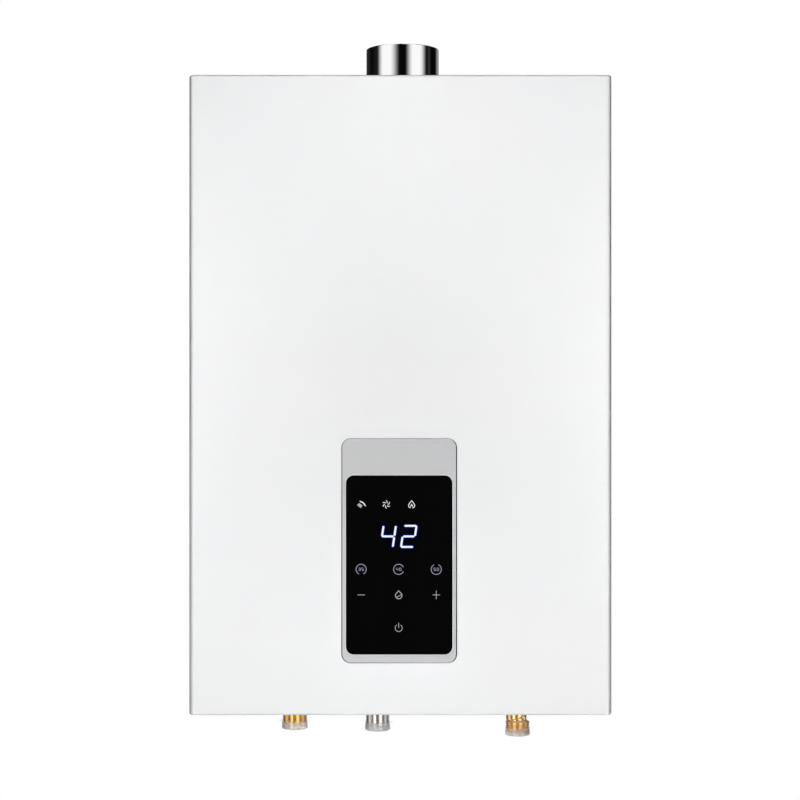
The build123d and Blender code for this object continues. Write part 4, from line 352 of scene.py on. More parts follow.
silver, tree, shader = new_finish("silver_paint", (0.56, 0.56, 0.565), 0.42, metallic=0.25)
brushed = add_pattern(tree, "ShaderNodeTexNoise", 500.0, stretch=(0.02, 1.0, 1.0))
vary_colour(tree, shader, brushed.outputs["Fac"], (0.54, 0.54, 0.545), (0.58, 0.58, 0.585))
flake = add_pattern(tree, "ShaderNodeTexNoise", 2600.0)
vary_roughness(tree, shader, flake.outputs["Fac"], 0.34, 0.5)
plated_edge, tree, shader = new_finish("plated_edge", (0.42, 0.42, 0.43), 0.12, metallic=1.0)
cut_lines = add_pattern(tree, "ShaderNodeTexNoise", 900.0)
vary_roughness(tree, shader, cut_lines.outputs["Fac"], 0.09, 0.16)
# The cut edge round the glass is painted paler than the silver paint: a painted highlight.
painted_highlight_edge, tree, shader = new_finish("cut_edge_painted_highlight", (0.86, 0.86, 0.865), 0.35)
highlight_edge_lines = add_pattern(tree, "ShaderNodeTexNoise", 900.0)
vary_roughness(tree, shader, highlight_edge_lines.outputs["Fac"], 0.3, 0.4)

bezel_low, bezel_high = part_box("panel_bezel")
glass_low, glass_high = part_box("panel_glass")
cover_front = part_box("front_cover")[0].y
bezel_centre = ((bezel_low.x + bezel_high.x) / 2, (bezel_low.z + bezel_high.z) / 2)
glass_centre = ((glass_low.x + glass_high.x) / 2, (glass_low.z + glass_high.z) / 2)
bezel_width, bezel_height = bezel_high.x - bezel_low.x, bezel_high.z - bezel_low.z
GLASS_GROWTH = 0.0005
glass_width = glass_high.x - glass_low.x + GLASS_GROWTH
glass_height = glass_high.z - glass_low.z + GLASS_GROWTH
BEZEL_CORNER = 0.0078
GLASS_CORNER = 0.0064
OUTER_CUT, OUTER_CUT_RISE = 0.0009, 0.00068
INNER_CUT, INNER_CUT_RISE = 0.0004, 0.00028
GLASS_GAP = 0.0001


def outer_loop(mesh, inset, depth):
    """Outline of the bezel, drawn in by the inset."""
    return panel_loop(
        mesh, bezel_width - 2 * inset, bezel_height - 2 * inset, BEZEL_CORNER - inset, bezel_centre, depth)


def glass_loop(mesh, growth, depth):
    """Outline of the glass, grown on every side."""
    return panel_loop(
        mesh, glass_width + 2 * growth, glass_height + 2 * growth, GLASS_CORNER + growth, glass_centre, depth)


bezel_front = bezel_low.y
outer_cut_depth = bezel_front + OUTER_CUT_RISE
inner_cut_depth = bezel_front + INNER_CUT_RISE
window_growth = GLASS_GAP + INNER_CUT
bezel_mesh = bmesh.new()
skin(bezel_mesh, [
    outer_loop(bezel_mesh, 0.0, outer_cut_depth), outer_loop(bezel_mesh, 0.0, cover_front),
    glass_loop(bezel_mesh, GLASS_GAP, cover_front), glass_loop(bezel_mesh, GLASS_GAP, inner_cut_depth),
])
skin(bezel_mesh, [
    outer_loop(bezel_mesh, OUTER_CUT, bezel_front), glass_loop(bezel_mesh, window_growth, bezel_front)])
bezel_frame = finished_mesh("bezel_frame", bezel_mesh, silver)
edge_mesh = bmesh.new()
skin(edge_mesh, [outer_loop(edge_mesh, 0.0, outer_cut_depth), outer_loop(edge_mesh, OUTER_CUT, bezel_front)])
outer_edge = finished_mesh("bezel_outer_edge", edge_mesh, plated_edge)
edge_mesh = bmesh.new()
skin(edge_mesh, [
    glass_loop(edge_mesh, window_growth, bezel_front), glass_loop(edge_mesh, GLASS_GAP, inner_cut_depth)])
inner_edge = finished_mesh("bezel_inner_edge", edge_mesh, painted_highlight_edge)
for piece in (bezel_frame, outer_edge, inner_edge):
    piece.visible_shadow = False
    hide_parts("panel_bezel")
    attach(piece, "casing")

# Touch glass: black-backed float glass, polished, with a fine ground edge.
# Its few finger marks only show as a change of gloss.
black_glass, tree, shader = new_finish("black_glass", (0.001, 0.001, 0.0012), 0.03)
smear = add_pattern(tree, "ShaderNodeTexNoise", 22.0)
vary_roughness(tree, shader, smear.outputs["Fac"], 0.02, 0.06)
GROUND_EDGE = 0.0002
glass_mesh = bmesh.new()
glass_front = glass_loop(glass_mesh, -GROUND_EDGE, glass_low.y)
glass_back = glass_loop(glass_mesh, 0.0, glass_high.y)
skin(glass_mesh, [glass_back, glass_loop(glass_mesh, 0.0, glass_low.y + GROUND_EDGE), glass_front])
glass_mesh.faces.new(glass_front)
glass_mesh.faces.new(glass_back)
touch_glass = finished_mesh("touch_glass", glass_mesh, black_glass)
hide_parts("panel_glass")
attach(touch_glass, "casing")


# Signs on the touch glass: printed key signs and the lit temperature behind the black print.
# Each is a flat stroke with round ends, cut to its width and laid on the front of the glass.
SIGN_LIFT = 0.00005
sign_plane = glass_low.y - SIGN_LIFT
SIGN_SHIFT = -0.0004
panel_x = glass_centre[0] + SIGN_SHIFT
ROUND_STEPS = 6
LEAST_MITRE = 0.4
TRIAL_TURN = 0.1


def stroke(mesh, points, width, closed=False, depth=sign_plane):
    """A flat line of even width with mitred corners, and round ends where it is open."""
    line = [Vector(point) for point in points]
    count = len(line)
    sides = []
    for index, point in enumerate(line):
        before = line[index - 1] if closed or index else point
        after = line[(index + 1) % count] if closed or index < count - 1 else point
        into = (point - before).normalized() if point != before else (after - point).normalized()
        out = (after - point).normalized() if point != after else into
        along = (into + out).normalized()
        across = Vector((-along.y, along.x))
        reach = width / 2 / max(LEAST_MITRE, across.dot(Vector((-into.y, into.x))))
        sides.append((point + across * reach, point - across * reach))
    rows = [tuple(mesh.verts.new((p.x, depth, p.y)) for p in pair) for pair in sides]
    last = count if closed else count - 1
    for index in range(last):
        left, right = rows[index], rows[(index + 1) % count]
        mesh.faces.new((left[0], left[1], right[1], right[0]))
    if not closed:
        for end, inner, pair in ((line[0], line[1], rows[0]), (line[-1], line[-2], rows[-1])):
            away = (end - inner).normalized()
            start = math.atan2(pair[0].co.z - end.y, pair[0].co.x - end.x)
            trial = start + TRIAL_TURN
            turn = 1 if Vector((math.cos(trial), math.sin(trial))).dot(away) > 0 else -1
            fan = [pair[0]]
            for step in range(1, ROUND_STEPS):
                angle = start + turn * math.pi * step / ROUND_STEPS
                spot = end + Vector((math.cos(angle), math.sin(angle))) * width / 2
                fan.append(mesh.verts.new((spot.x, depth, spot.y)))
            mesh.faces.new((*fan, pair[1]))


def arc(centre, radius, start, sweep, steps):
    """Points of an arc, angles in degrees from the right, upwards."""
    angles = [math.radians(start + sweep * step / steps) for step in range(steps + 1)]
    return [(centre[0] + radius * math.cos(a), centre[1] + radius * math.sin(a)) for a in angles]


def filled(mesh, points):
    """A flat face with the given outline."""
    mesh.faces.new([mesh.verts.new((x, sign_plane, z)) for x, z in points])


def sign_piece(name, mesh, material):
    """Turn every face to the front and lay the sign on the glass."""
    for face in mesh.faces:
        face.normal_update()
        if face.normal.y > 0:
            face.normal_flip()
    data = bpy.data.meshes.new(name)
    mesh.to_mesh(data)
    mesh.free()
    data.materials.append(material)
    piece = mesh_object(name, data)
    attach(piece, "casing")


LIGHT_VARIATION = 0.08


def glow_finish(name, colour, strength):
    """Lit print: black itself, with light through it that is a little uneven."""
    material, tree, shader = new_finish(name, (0.0, 0.0, 0.0), 0.5)
    uneven = add_pattern(tree, "ShaderNodeTexNoise", 160.0)
    span = tree.nodes.new("ShaderNodeMapRange")
    span.inputs["To Min"].default_value = strength * (1.0 - LIGHT_VARIATION)
    span.inputs["To Max"].default_value = strength * (1.0 + LIGHT_VARIATION)
    tree.links.new(uneven.outputs["Fac"], span.inputs["Value"])
    shader.inputs["Specular IOR Level"].default_value = 0.0
    shader.inputs["Emission Color"].default_value = (*colour, 1.0)
    tree.links.new(span.outputs["Result"], shader.inputs["Emission Strength"])
    return material


digit_light = glow_finish("digit_light", (0.9, 0.94, 1.0), 1.0)
sign_light = glow_finish("sign_light", (0.9, 0.95, 0.93), 0.85)
ring_light = glow_finish("ring_light", (0.52, 0.52, 0.68), 0.62)
key_print = glow_finish("key_print", (0.5, 0.49, 0.47), 0.9)

# Temperature digits: slanted bars with rounded corners, as a light module shows them.
# The module stands behind the glass, and its light comes through the black print.
DIGIT_LEAN = math.tan(math.radians(8.5))
DIGIT_BARS = {
    "0": [[(-1, -1), (-1, 1), (1, 1), (1, -1), (-1, -1)]],
    "2": [[(-0.8, 1), (1, 1), (1, 0.12)], [(0.75, 0), (-0.75, 0)], [(-1, -0.12), (-1, -1), (0.8, -1)]],
    "3": [[(-0.8, 1), (1, 1), (1, 0.12)], [(-0.6, 0), (0.75, 0)], [(1, -0.12), (1, -1), (-0.8, -1)]],
    "4": [[(-1, 0.9), (-1, 0), (0.72, 0)], [(1, 0.9), (1, 0.14)], [(1, -0.14), (1, -0.9)]],
    "5": [[(0.8, 1), (-1, 1), (-1, 0), (0.75, 0)], [(1, -0.12), (1, -1), (-0.8, -1)]],
}
BEND_SHARES = (0.0, 0.25, 0.5, 0.75, 1.0)


def rounded(points, radius):
    """The same line with each inner corner cut to a small arc."""
    line = [Vector(point) for point in points]
    out = [line[0]]
    for before, corner, after in zip(line, line[1:], line[2:]):
        first = corner + (before - corner).normalized() * radius
        second = corner + (after - corner).normalized() * radius
        for share in BEND_SHARES:
            out.append(first.lerp(corner, share).lerp(corner.lerp(second, share), share))
    return out + [line[-1]]


DIGIT_BEND_SHARE = 0.16


def draw_digit(mesh, digit, centre, half_width, half_height, width, lean=0.0, depth=sign_plane):
    """One digit of the given half sizes, with bars of the given width."""
    for bar in DIGIT_BARS[digit]:
        points = [
            (centre[0] + u * half_width + lean * v * half_height, centre[1] + v * half_height)
            for u, v in bar]
        stroke(mesh, rounded(points, DIGIT_BEND_SHARE * half_height), width, depth=depth)


DIGIT_LEVEL = -0.1167
DIGIT_HALF_WIDTH = 0.0051
DIGIT_HALF_HEIGHT = 0.0087
DIGIT_STROKE = 0.0016
DIGIT_PLACES = (("4", -0.0101), ("2", 0.0069))


def temperature_bars(width, depth):
    """Both digits as one mesh, with bars of the given width."""
    mesh = bmesh.new()
    for digit, digit_x in DIGIT_PLACES:
        centre = (digit_x, DIGIT_LEVEL)
        draw_digit(mesh, digit, centre, DIGIT_HALF_WIDTH, DIGIT_HALF_HEIGHT, width, DIGIT_LEAN, depth)
    return mesh


sign_piece("temperature_digits", temperature_bars(DIGIT_STROKE, sign_plane), digit_light)

# Glow of the light module through the print: wide soft lines behind each bar.
# Each layer is narrower and brighter than the one below it, and all lie under the digits.
GLOW_STEPS = 7
GLOW_REACH = 0.0028
GLOW_COLOUR = (0.003, 0.011, 0.12)
GLOW_LIFT_SHARE = 0.9
for step in range(GLOW_STEPS):
    share = (step + 1) / GLOW_STEPS
    name = f"digit_glow_{step + 1}"
    glow_width = DIGIT_STROKE + 2 * GLOW_REACH * (1.0 - share)
    glow_plane = glass_low.y - SIGN_LIFT * share * GLOW_LIFT_SHARE
    glow_light = glow_finish(name, [channel * share ** 2 for channel in GLOW_COLOUR], 1.0)
    sign_piece(name, temperature_bars(glow_width, glow_plane), glow_light)

# State signs above the digits: hand shower, fan and flame, lit while the heater runs.
# Each is drawn round its own middle, the fan's blades by radius and angle.
STATE_LEVEL = -0.0903
SHOWER_X, FAN_X, FLAME_X = -0.0321, -0.0116, 0.0093
SHOWER_STROKE, FAN_STROKE, FLAME_STROKE = 0.0009, 0.00058, 0.0006
SHOWER_HEAD = ((-0.0011, 0.0025), (0.0008, 0.0017), (0.0022, 0.0004), (0.0030, -0.0011))
SHOWER_JETS = ((-0.0037, -0.0006), (-0.0018, 0.0010), (0.0007, -0.0007), (-0.0004, -0.0031))
FAN_SIGN_BLADES = 6
FAN_SIGN_BLADE = ((0.0014, 0.0), (0.0023, 14.0), (0.0031, 32.0))
FLAME_TIP = (0.0, 0.0030)
FLAME_SIDE = ((0.0016, 0.0012), (0.0026, -0.0007), (0.0022, -0.0022), (0.0009, -0.0028))
FLAME_HEART = ((-0.0009, -0.0016), (0.0, 0.0), (0.0009, -0.0016))


def moved(points, x, z):
    """The same points round another middle."""
    return [(x + right, z + up) for right, up in points]


signs = bmesh.new()
stroke(signs, moved(SHOWER_HEAD, SHOWER_X, STATE_LEVEL), SHOWER_STROKE)
for blade in range(FAN_SIGN_BLADES):
    turn = 360.0 * blade / FAN_SIGN_BLADES
    line = [arc((FAN_X, STATE_LEVEL), radius, turn + swing, 0.0, 1)[0] for radius, swing in FAN_SIGN_BLADE]
    stroke(signs, line, FAN_STROKE)
flame = [(-x, z) for x, z in reversed(FLAME_SIDE)] + [FLAME_TIP] + list(FLAME_SIDE)
stroke(signs, moved(flame, FLAME_X, STATE_LEVEL), FLAME_STROKE)
stroke(signs, moved(FLAME_HEART, FLAME_X, STATE_LEVEL), FLAME_STROKE)
sign_piece("state_signs", signs, sign_light)
jets = bmesh.new()
filled(jets, moved(SHOWER_JETS, SHOWER_X, STATE_LEVEL))
sign_piece("shower_jets", jets, key_print)

# Preset keys: three open rings, each round the temperature that it sets.
# Lit from behind like the other keys, and more faintly than the digits.
KEY_SPACING = 0.031
RING_LEVEL = -0.1439
RING_RADIUS = 0.0042
RING_GAP = 56.0
RING_STEPS = 40
RING_STROKE = 0.00055
PRESET_OFFSET = 0.0013
PRESET_HALF_WIDTH = 0.00075
PRESET_HALF_HEIGHT = 0.0011
PRESET_STROKE = 0.00036
rings = bmesh.new()
for column, gap_middle, preset in ((-1, 270.0, "35"), (0, 0.0, "40"), (1, 90.0, "50")):
    key_x = panel_x + column * KEY_SPACING
    ring = arc((key_x, RING_LEVEL), RING_RADIUS, gap_middle + RING_GAP / 2, 360.0 - RING_GAP, RING_STEPS)
    stroke(rings, ring, RING_STROKE)
    for digit, side in zip(preset, (-1, 1)):
        centre = (key_x + side * PRESET_OFFSET, RING_LEVEL)
        draw_digit(rings, digit, centre, PRESET_HALF_WIDTH, PRESET_HALF_HEIGHT, PRESET_STROKE)
sign_piece("preset_keys", rings, ring_light)

# Touch keys: minus, water drop and plus in one row, and power below them.
# Grey signs, lit from behind, with no travel: the film behind them feels the finger.
KEY_LEVEL = -0.1650
POWER_LEVEL = -0.1923
KEY_STROKE = 0.00045
BAR_HALF_LENGTH = 0.0029
PLUS_HALF_HEIGHT = 0.0033
DROP_STROKE = 0.0006
DROP_TIP = (0.0, 0.0034)
DROP_MIDDLE = (0.0, -0.0005)
DROP_RADIUS = 0.0027
DROP_START, DROP_SWEEP, DROP_STEPS = 32.0, -244.0, 24
DROP_LINE = ((-0.0022, -0.0022), (0.0022, 0.0001))
POWER_RADIUS = 0.0029
POWER_START, POWER_SWEEP, POWER_STEPS = 128.0, 284.0, 32
POWER_BAR = ((0.0, 0.0002), (0.0, 0.0042))
level_bar = ((-BAR_HALF_LENGTH, 0.0), (BAR_HALF_LENGTH, 0.0))
upright_bar = ((0.0, -PLUS_HALF_HEIGHT), (0.0, PLUS_HALF_HEIGHT))
drop = [DROP_TIP] + arc(DROP_MIDDLE, DROP_RADIUS, DROP_START, DROP_SWEEP, DROP_STEPS)
keys = bmesh.new()
stroke(keys, moved(level_bar, panel_x - KEY_SPACING, KEY_LEVEL), KEY_STROKE)
stroke(keys, moved(level_bar, panel_x + KEY_SPACING, KEY_LEVEL), KEY_STROKE)
stroke(keys, moved(upright_bar, panel_x + KEY_SPACING, KEY_LEVEL), KEY_STROKE)
stroke(keys, moved(drop, panel_x, KEY_LEVEL), DROP_STROKE, closed=True)
stroke(keys, moved(DROP_LINE, panel_x, KEY_LEVEL), KEY_STROKE)
power_ring = arc((panel_x, POWER_LEVEL), POWER_RADIUS, POWER_START, POWER_SWEEP, POWER_STEPS)
stroke(keys, power_ring, KEY_STROKE)
stroke(keys, moved(POWER_BAR, panel_x, POWER_LEVEL), KEY_STROKE)
sign_piece("touch_keys", keys, key_print)


# Hot outlet and gas inlet: turned stems, screwed to the bottom plate by a flange.
# Each ends in a parallel pipe thread, G 1/2, with 14 turns to the inch. The hot outlet is bare brass,
# and the gas inlet is nickel plated.
THREAD_PITCH = 0.001814
THREAD_HEIGHT = 0.00116
STEPS_PER_TURN = 14
ROUND = 72
SHARP_ANGLE = 40.0


def turned_piece(name, axis_x, axis_y, outline, material, thread=None, lean=0.0):
    """A closed outline of (radius, height, slant) turned about an upright axis. Between the two heights of
    the thread the radius follows a helix, and a slant of 1 tilts a ring along the lean."""
    rings = []
    for (r0, z0, s0), (r1, z1, s1) in zip(outline, outline[1:] + outline[:1]):
        on_thread = thread and r0 == r1 and {z0, z1} == set(thread)
        steps = max(1, round(abs(z1 - z0) / THREAD_PITCH * STEPS_PER_TURN)) if on_thread else 1
        for step in range(steps):
            share = step / steps
            rings.append((r0 + (r1 - r0) * share, z0 + (z1 - z0) * share, s0 + (s1 - s0) * share, on_thread))
    mesh = bmesh.new()
    rows = []
    for radius, height, slant, on_thread in rings:
        if radius == 0.0:
            rows.append([mesh.verts.new((axis_x, axis_y, height))] * ROUND)
            continue
        row = []
        for index in range(ROUND):
            angle = 2 * math.pi * index / ROUND
            depth = 0.0
            if on_thread:
                run_out = min(1.0, (height - thread[0]) / THREAD_PITCH, (thread[1] - height) / THREAD_PITCH)
                phase = (height / THREAD_PITCH - index / ROUND) % 1.0
                wave = abs(2.0 * phase - 1.0)
                depth = THREAD_HEIGHT * max(0.0, run_out) * wave * wave * (3.0 - 2.0 * wave)
            reach = radius - depth
            tilt = slant * lean * reach * math.cos(angle)
            row.append(mesh.verts.new((
                axis_x + reach * math.cos(angle), axis_y + reach * math.sin(angle), height + tilt)))
        rows.append(row)
    for lower, upper in zip(rows, rows[1:] + rows[:1]):
        for index in range(ROUND):
            follow = (index + 1) % ROUND
            corners = list(dict.fromkeys((lower[index], lower[follow], upper[follow], upper[index])))
            if len(corners) > 2:
                mesh.faces.new(corners).smooth = True
    piece = finished_mesh(name, mesh, material)
    piece.data.set_sharp_from_angle(angle=math.radians(SHARP_ANGLE))
    return piece


brass, tree, shader = new_finish("turned_brass", (0.96, 0.7, 0.3), 0.12, metallic=0.88)
tool_marks = add_pattern(tree, "ShaderNodeTexNoise", 80.0, stretch=(1.0, 1.0, 12.0))
vary_colour(tree, shader, tool_marks.outputs["Fac"], (0.92, 0.63, 0.24), (1.0, 0.76, 0.38))
vary_roughness(tree, shader, tool_marks.outputs["Fac"], 0.08, 0.18)
finish_nodes(brass, "flow_sensor_body", "gas_jets")

nickel, tree, shader = new_finish("nickel_plate", (0.86, 0.84, 0.81), 0.12, metallic=1.0)
plating = add_pattern(tree, "ShaderNodeTexNoise", 80.0, stretch=(1.0, 1.0, 12.0))
vary_roughness(tree, shader, plating.outputs["Fac"], 0.1, 0.22)

CREST = 0.0104775
CHAMFER = 0.001
STEM_BORE = 0.006
FLANGE_RADIUS = 0.018
FLANGE_THICKNESS = 0.003
SOCKET_RADIUS = 0.00912
SOCKET_BORE = 0.00712
SOCKET_DEPTH = 0.009
SOCKET_RISE = 0.014


def upper_end(flange, top):
    """Outline of a connector's flange and of the socket above it that takes the pipe."""
    flange_top = flange + FLANGE_THICKNESS
    return [
        (FLANGE_RADIUS, flange, 0), (FLANGE_RADIUS, flange_top, 0), (SOCKET_RADIUS, flange_top, 0),
        (SOCKET_RADIUS, top, 0), (SOCKET_BORE, top, 0), (SOCKET_BORE, top - SOCKET_DEPTH, 0),
    ]


def bulkhead(name, node, material):
    """A connector that is threaded from its flange to its tip."""
    low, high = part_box(node)
    axis_x, axis_y = (low.x + high.x) / 2, (low.y + high.y) / 2
    flange = high.z - SOCKET_RISE - FLANGE_THICKNESS
    thread = (low.z + CHAMFER, flange)
    outline = [
        (STEM_BORE, high.z - SOCKET_DEPTH, 0), (STEM_BORE, low.z, 0), (CREST - CHAMFER, low.z, 0),
        (CREST, thread[0], 0), (CREST, thread[1], 0), *upper_end(flange, high.z),
    ]
    piece = turned_piece(name, axis_x, axis_y, outline, material, thread)
    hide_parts(node)
    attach(piece, "casing")
    return piece


bulkhead("hot_outlet_thread", "hot_outlet", brass)
bulkhead("gas_inlet_thread", "gas_inlet", nickel)

# Cold inlet: a body with a short thread, a flared neck and a slanted shoulder under the plate.
# Cast brass, turned only at the thread, so most of its skin is a little rough.
red_brass, tree, shader = new_finish("cast_brass", (0.9, 0.62, 0.28), 0.2, metallic=0.8)
casting = add_pattern(tree, "ShaderNodeTexNoise", 260.0)
vary_colour(tree, shader, casting.outputs["Fac"], (0.84, 0.5, 0.19), (0.98, 0.74, 0.4))
vary_roughness(tree, shader, casting.outputs["Fac"], 0.12, 0.3)
low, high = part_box("cold_inlet")
COLD_BORE = 0.0055
COLD_THREAD_TOP = 0.0107
NECK_RADIUS = 0.0074
NECK_STEPS = 10
LOWER_FLARE, UPPER_FLARE = 0.0016, 0.0018
SHOULDER_HEIGHT = 0.0154
SHOULDER_RADIUS = 0.01
SHOULDER_EDGE, SHOULDER_EDGE_RISE = 0.0004, 0.0008
SHOULDER_LEAN = math.tan(math.radians(19.0))
cold_thread = (low.z + CHAMFER, low.z + COLD_THREAD_TOP)
shoulder_level = low.z + SHOULDER_HEIGHT
flange = high.z - SOCKET_RISE - FLANGE_THICKNESS
cold_neck = []
for step in range(NECK_STEPS + 1):
    share = step / NECK_STEPS
    flare = LOWER_FLARE * (1.0 - share) ** 3 + UPPER_FLARE * share ** 3
    cold_neck.append((NECK_RADIUS + flare, cold_thread[1] + (shoulder_level - cold_thread[1]) * share, share))
cold_outline = [
    (COLD_BORE, high.z - SOCKET_DEPTH, 0), (COLD_BORE, low.z, 0), (CREST - CHAMFER, low.z, 0),
    (CREST, cold_thread[0], 0), (CREST, cold_thread[1], 0), *cold_neck,
    (SHOULDER_RADIUS - SHOULDER_EDGE, shoulder_level, 1),
    (SHOULDER_RADIUS, shoulder_level + SHOULDER_EDGE_RISE, 1), (SHOULDER_RADIUS, flange, 0),
    *upper_end(flange, high.z),
]
cold_piece = turned_piece(
    "cold_inlet_thread", (low.x + high.x) / 2, (low.y + high.y) / 2, cold_outline, red_brass, cold_thread,
    SHOULDER_LEAN)
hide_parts("cold_inlet")
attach(cold_piece, "casing")


# Dust caps: soft cups pushed over the threads for transport, with a tab to pull them off.
# Natural polyethylene, milky, thin enough for the thread to show through.
milky, tree, shader = new_finish("milky_polyethylene", (0.92, 0.92, 0.91), 0.38)
shader.inputs["Subsurface Weight"].default_value = 0.6
shader.inputs["Subsurface Radius"].default_value = (0.004, 0.004, 0.004)
waviness = add_pattern(tree, "ShaderNodeTexNoise", 150.0)
vary_roughness(tree, shader, waviness.outputs["Fac"], 0.3, 0.46)
add_relief(tree, shader, waviness.outputs["Fac"], 0.12, 0.0003)
fade = tree.nodes.new("ShaderNodeAttribute")
fade.attribute_name = "rim_distance"
opacity = tree.nodes.new("ShaderNodeMapRange")
opacity.inputs["To Min"].default_value = 0.08
opacity.inputs["To Max"].default_value = 0.6
tree.links.new(fade.outputs["Fac"], opacity.inputs["Value"])
tree.links.new(opacity.outputs["Result"], shader.inputs["Alpha"])
CAP_WALL = 0.00045
CAP_FLOOR = 0.0008
CAP_EDGE = 0.0012
CAP_EDGE_STEPS = 4
CAP_SLIP = 0.00012
CAP_RADIUS = CREST + CAP_SLIP + CAP_WALL
TAB_HALF_WIDTH = 0.003
TAB_THICKNESS = 0.0009
TAB_ROUND = 10


def dust_cap(body, axis_node, tab_side):
    """A cap's cup and its tab. Both grow milkier with the distance from the rim."""
    low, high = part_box(body)
    stem_low, stem_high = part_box(axis_node)
    axis_x, axis_y = (stem_low.x + stem_high.x) / 2, (stem_low.y + stem_high.y) / 2
    inside = CAP_RADIUS - CAP_WALL
    outline = [(0.0, low.z, 0)]
    for step in range(CAP_EDGE_STEPS + 1):
        angle = math.radians(90.0 * step / CAP_EDGE_STEPS)
        edge_radius = CAP_RADIUS - CAP_EDGE + CAP_EDGE * math.sin(angle)
        edge_level = low.z + CAP_EDGE - CAP_EDGE * math.cos(angle)
        outline.append((edge_radius, edge_level, 0))
    outline += [
        (CAP_RADIUS, high.z, 0), (inside, high.z, 0),
        (inside, low.z + CAP_FLOOR, 0), (0.0, low.z + CAP_FLOOR, 0)]
    cup = turned_piece(body + "_cup", axis_x, axis_y, outline, milky)
    tab_reach = high.x - axis_x if tab_side > 0 else axis_x - low.x
    tab_end = tab_reach - TAB_HALF_WIDTH
    turns = [math.radians(180.0 * step / TAB_ROUND - 90.0) for step in range(TAB_ROUND + 1)]
    edge = [(tab_end + TAB_HALF_WIDTH * math.cos(a), TAB_HALF_WIDTH * math.sin(a)) for a in turns]
    edge += [(CAP_RADIUS - CAP_WALL / 2, TAB_HALF_WIDTH), (CAP_RADIUS - CAP_WALL / 2, -TAB_HALF_WIDTH)]
    tab_mesh = bmesh.new()
    levels = [
        [tab_mesh.verts.new((axis_x + tab_side * x, axis_y + y, z)) for x, y in edge]
        for z in (high.z, high.z - TAB_THICKNESS)]
    skin(tab_mesh, levels)
    for level in levels:
        tab_mesh.faces.new(level)
    tab = finished_mesh(body + "_tab", tab_mesh, milky)
    for piece in (cup, tab):
        distance = piece.data.attributes.new("rim_distance", "FLOAT", "POINT")
        for index, vertex in enumerate(piece.data.vertices):
            distance.data[index].value = (high.z - vertex.co.z) / (high.z - low.z)
        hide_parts(body)
        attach(piece, body)


dust_cap("hot_cap", "hot_outlet", -1)
dust_cap("gas_cap", "gas_inlet", 1)
dust_cap("cold_cap", "cold_inlet", 1)


# Studio floor: a pale board well below the heater, which hangs in the air as it would on a wall.
# The camera sees it nearly white, and it throws no light on the heater.
FLOOR_LEVEL = -0.8
FLOOR_HALF_WIDTH = 1.1
FLOOR_FRONT, FLOOR_BACK = -1.0, 0.3
FLOOR_GLOW = 0.7
floor_mesh = bpy.data.meshes.new("studio_floor")
floor_mesh.from_pydata([
    (-FLOOR_HALF_WIDTH, FLOOR_FRONT, FLOOR_LEVEL), (FLOOR_HALF_WIDTH, FLOOR_FRONT, FLOOR_LEVEL),
    (FLOOR_HALF_WIDTH, FLOOR_BACK, FLOOR_LEVEL), (-FLOOR_HALF_WIDTH, FLOOR_BACK, FLOOR_LEVEL),
], [], [(0, 1, 2, 3)])
floor_paint, tree, shader = new_finish("pale_floor", (0.5, 0.5, 0.5), 0.8)
shader.inputs["Emission Color"].default_value = (1.0, 1.0, 1.0, 1.0)
seen_floor = tree.nodes.new("ShaderNodeMath")
seen_floor.operation = "MULTIPLY"
seen_floor.inputs[1].default_value = FLOOR_GLOW
tree.links.new(tree.nodes.new("ShaderNodeLightPath").outputs["Is Camera Ray"], seen_floor.inputs[0])
tree.links.new(seen_floor.outputs["Value"], shader.inputs["Emission Strength"])
floor_mesh.materials.append(floor_paint)
floor = mesh_object("studio_floor", floor_mesh)
floor.visible_diffuse = False
floor.visible_glossy = False

# Reflection tent: a striped cylinder round the heater that only reflections see.
# It gives polished metal its light and dark bands: the upper half the collar's, the lower the connectors'.
TENT_RADIUS = 2.3
TENT_HEIGHT = 4.5
TENT_SIDES = 96
FIRST_STOPS = 2


def reflection_tent(name, reach, stripes):
    """Half of the tent, from the heater's middle up or down. A stripe is a bearing from the front, in
    degrees, and its light."""
    mesh = bmesh.new()
    turns = [2 * math.pi * side / TENT_SIDES for side in range(TENT_SIDES)]
    circle = [(TENT_RADIUS * math.cos(turn), TENT_RADIUS * math.sin(turn)) for turn in turns]
    skin(mesh, [[mesh.verts.new((x, y, level)) for x, y in circle] for level in (0.0, reach)])
    material = bpy.data.materials.new(name)
    material.use_nodes = True
    tree = material.node_tree
    tree.nodes.remove(tree.nodes["Principled BSDF"])
    place = tree.nodes.new("ShaderNodeTexCoord")
    swing = tree.nodes.new("ShaderNodeMapping")
    swing.inputs["Rotation"].default_value = (0.0, 0.0, math.radians(90.0))
    bearing = tree.nodes.new("ShaderNodeTexGradient")
    bearing.gradient_type = "RADIAL"
    ramp = tree.nodes.new("ShaderNodeValToRGB")
    ramp.color_ramp.interpolation = "EASE"
    elements = ramp.color_ramp.elements
    for index, (degrees, level) in enumerate(stripes):
        position = (degrees + 180) / 360
        stop = elements[index] if index < FIRST_STOPS else elements.new(position)
        stop.position = position
        stop.color = (level, level, level, 1.0)
    light = tree.nodes.new("ShaderNodeEmission")
    tree.links.new(place.outputs["Object"], swing.inputs["Vector"])
    tree.links.new(swing.outputs["Vector"], bearing.inputs["Vector"])
    tree.links.new(bearing.outputs["Fac"], ramp.inputs["Fac"])
    tree.links.new(ramp.outputs["Color"], light.inputs["Color"])
    tree.links.new(light.outputs["Emission"], tree.nodes["Material Output"].inputs["Surface"])
    tent = finished_mesh(name, mesh, material)
    tent.visible_camera = False
    tent.visible_diffuse = False
    tent.visible_transmission = False
    tent.visible_shadow = False


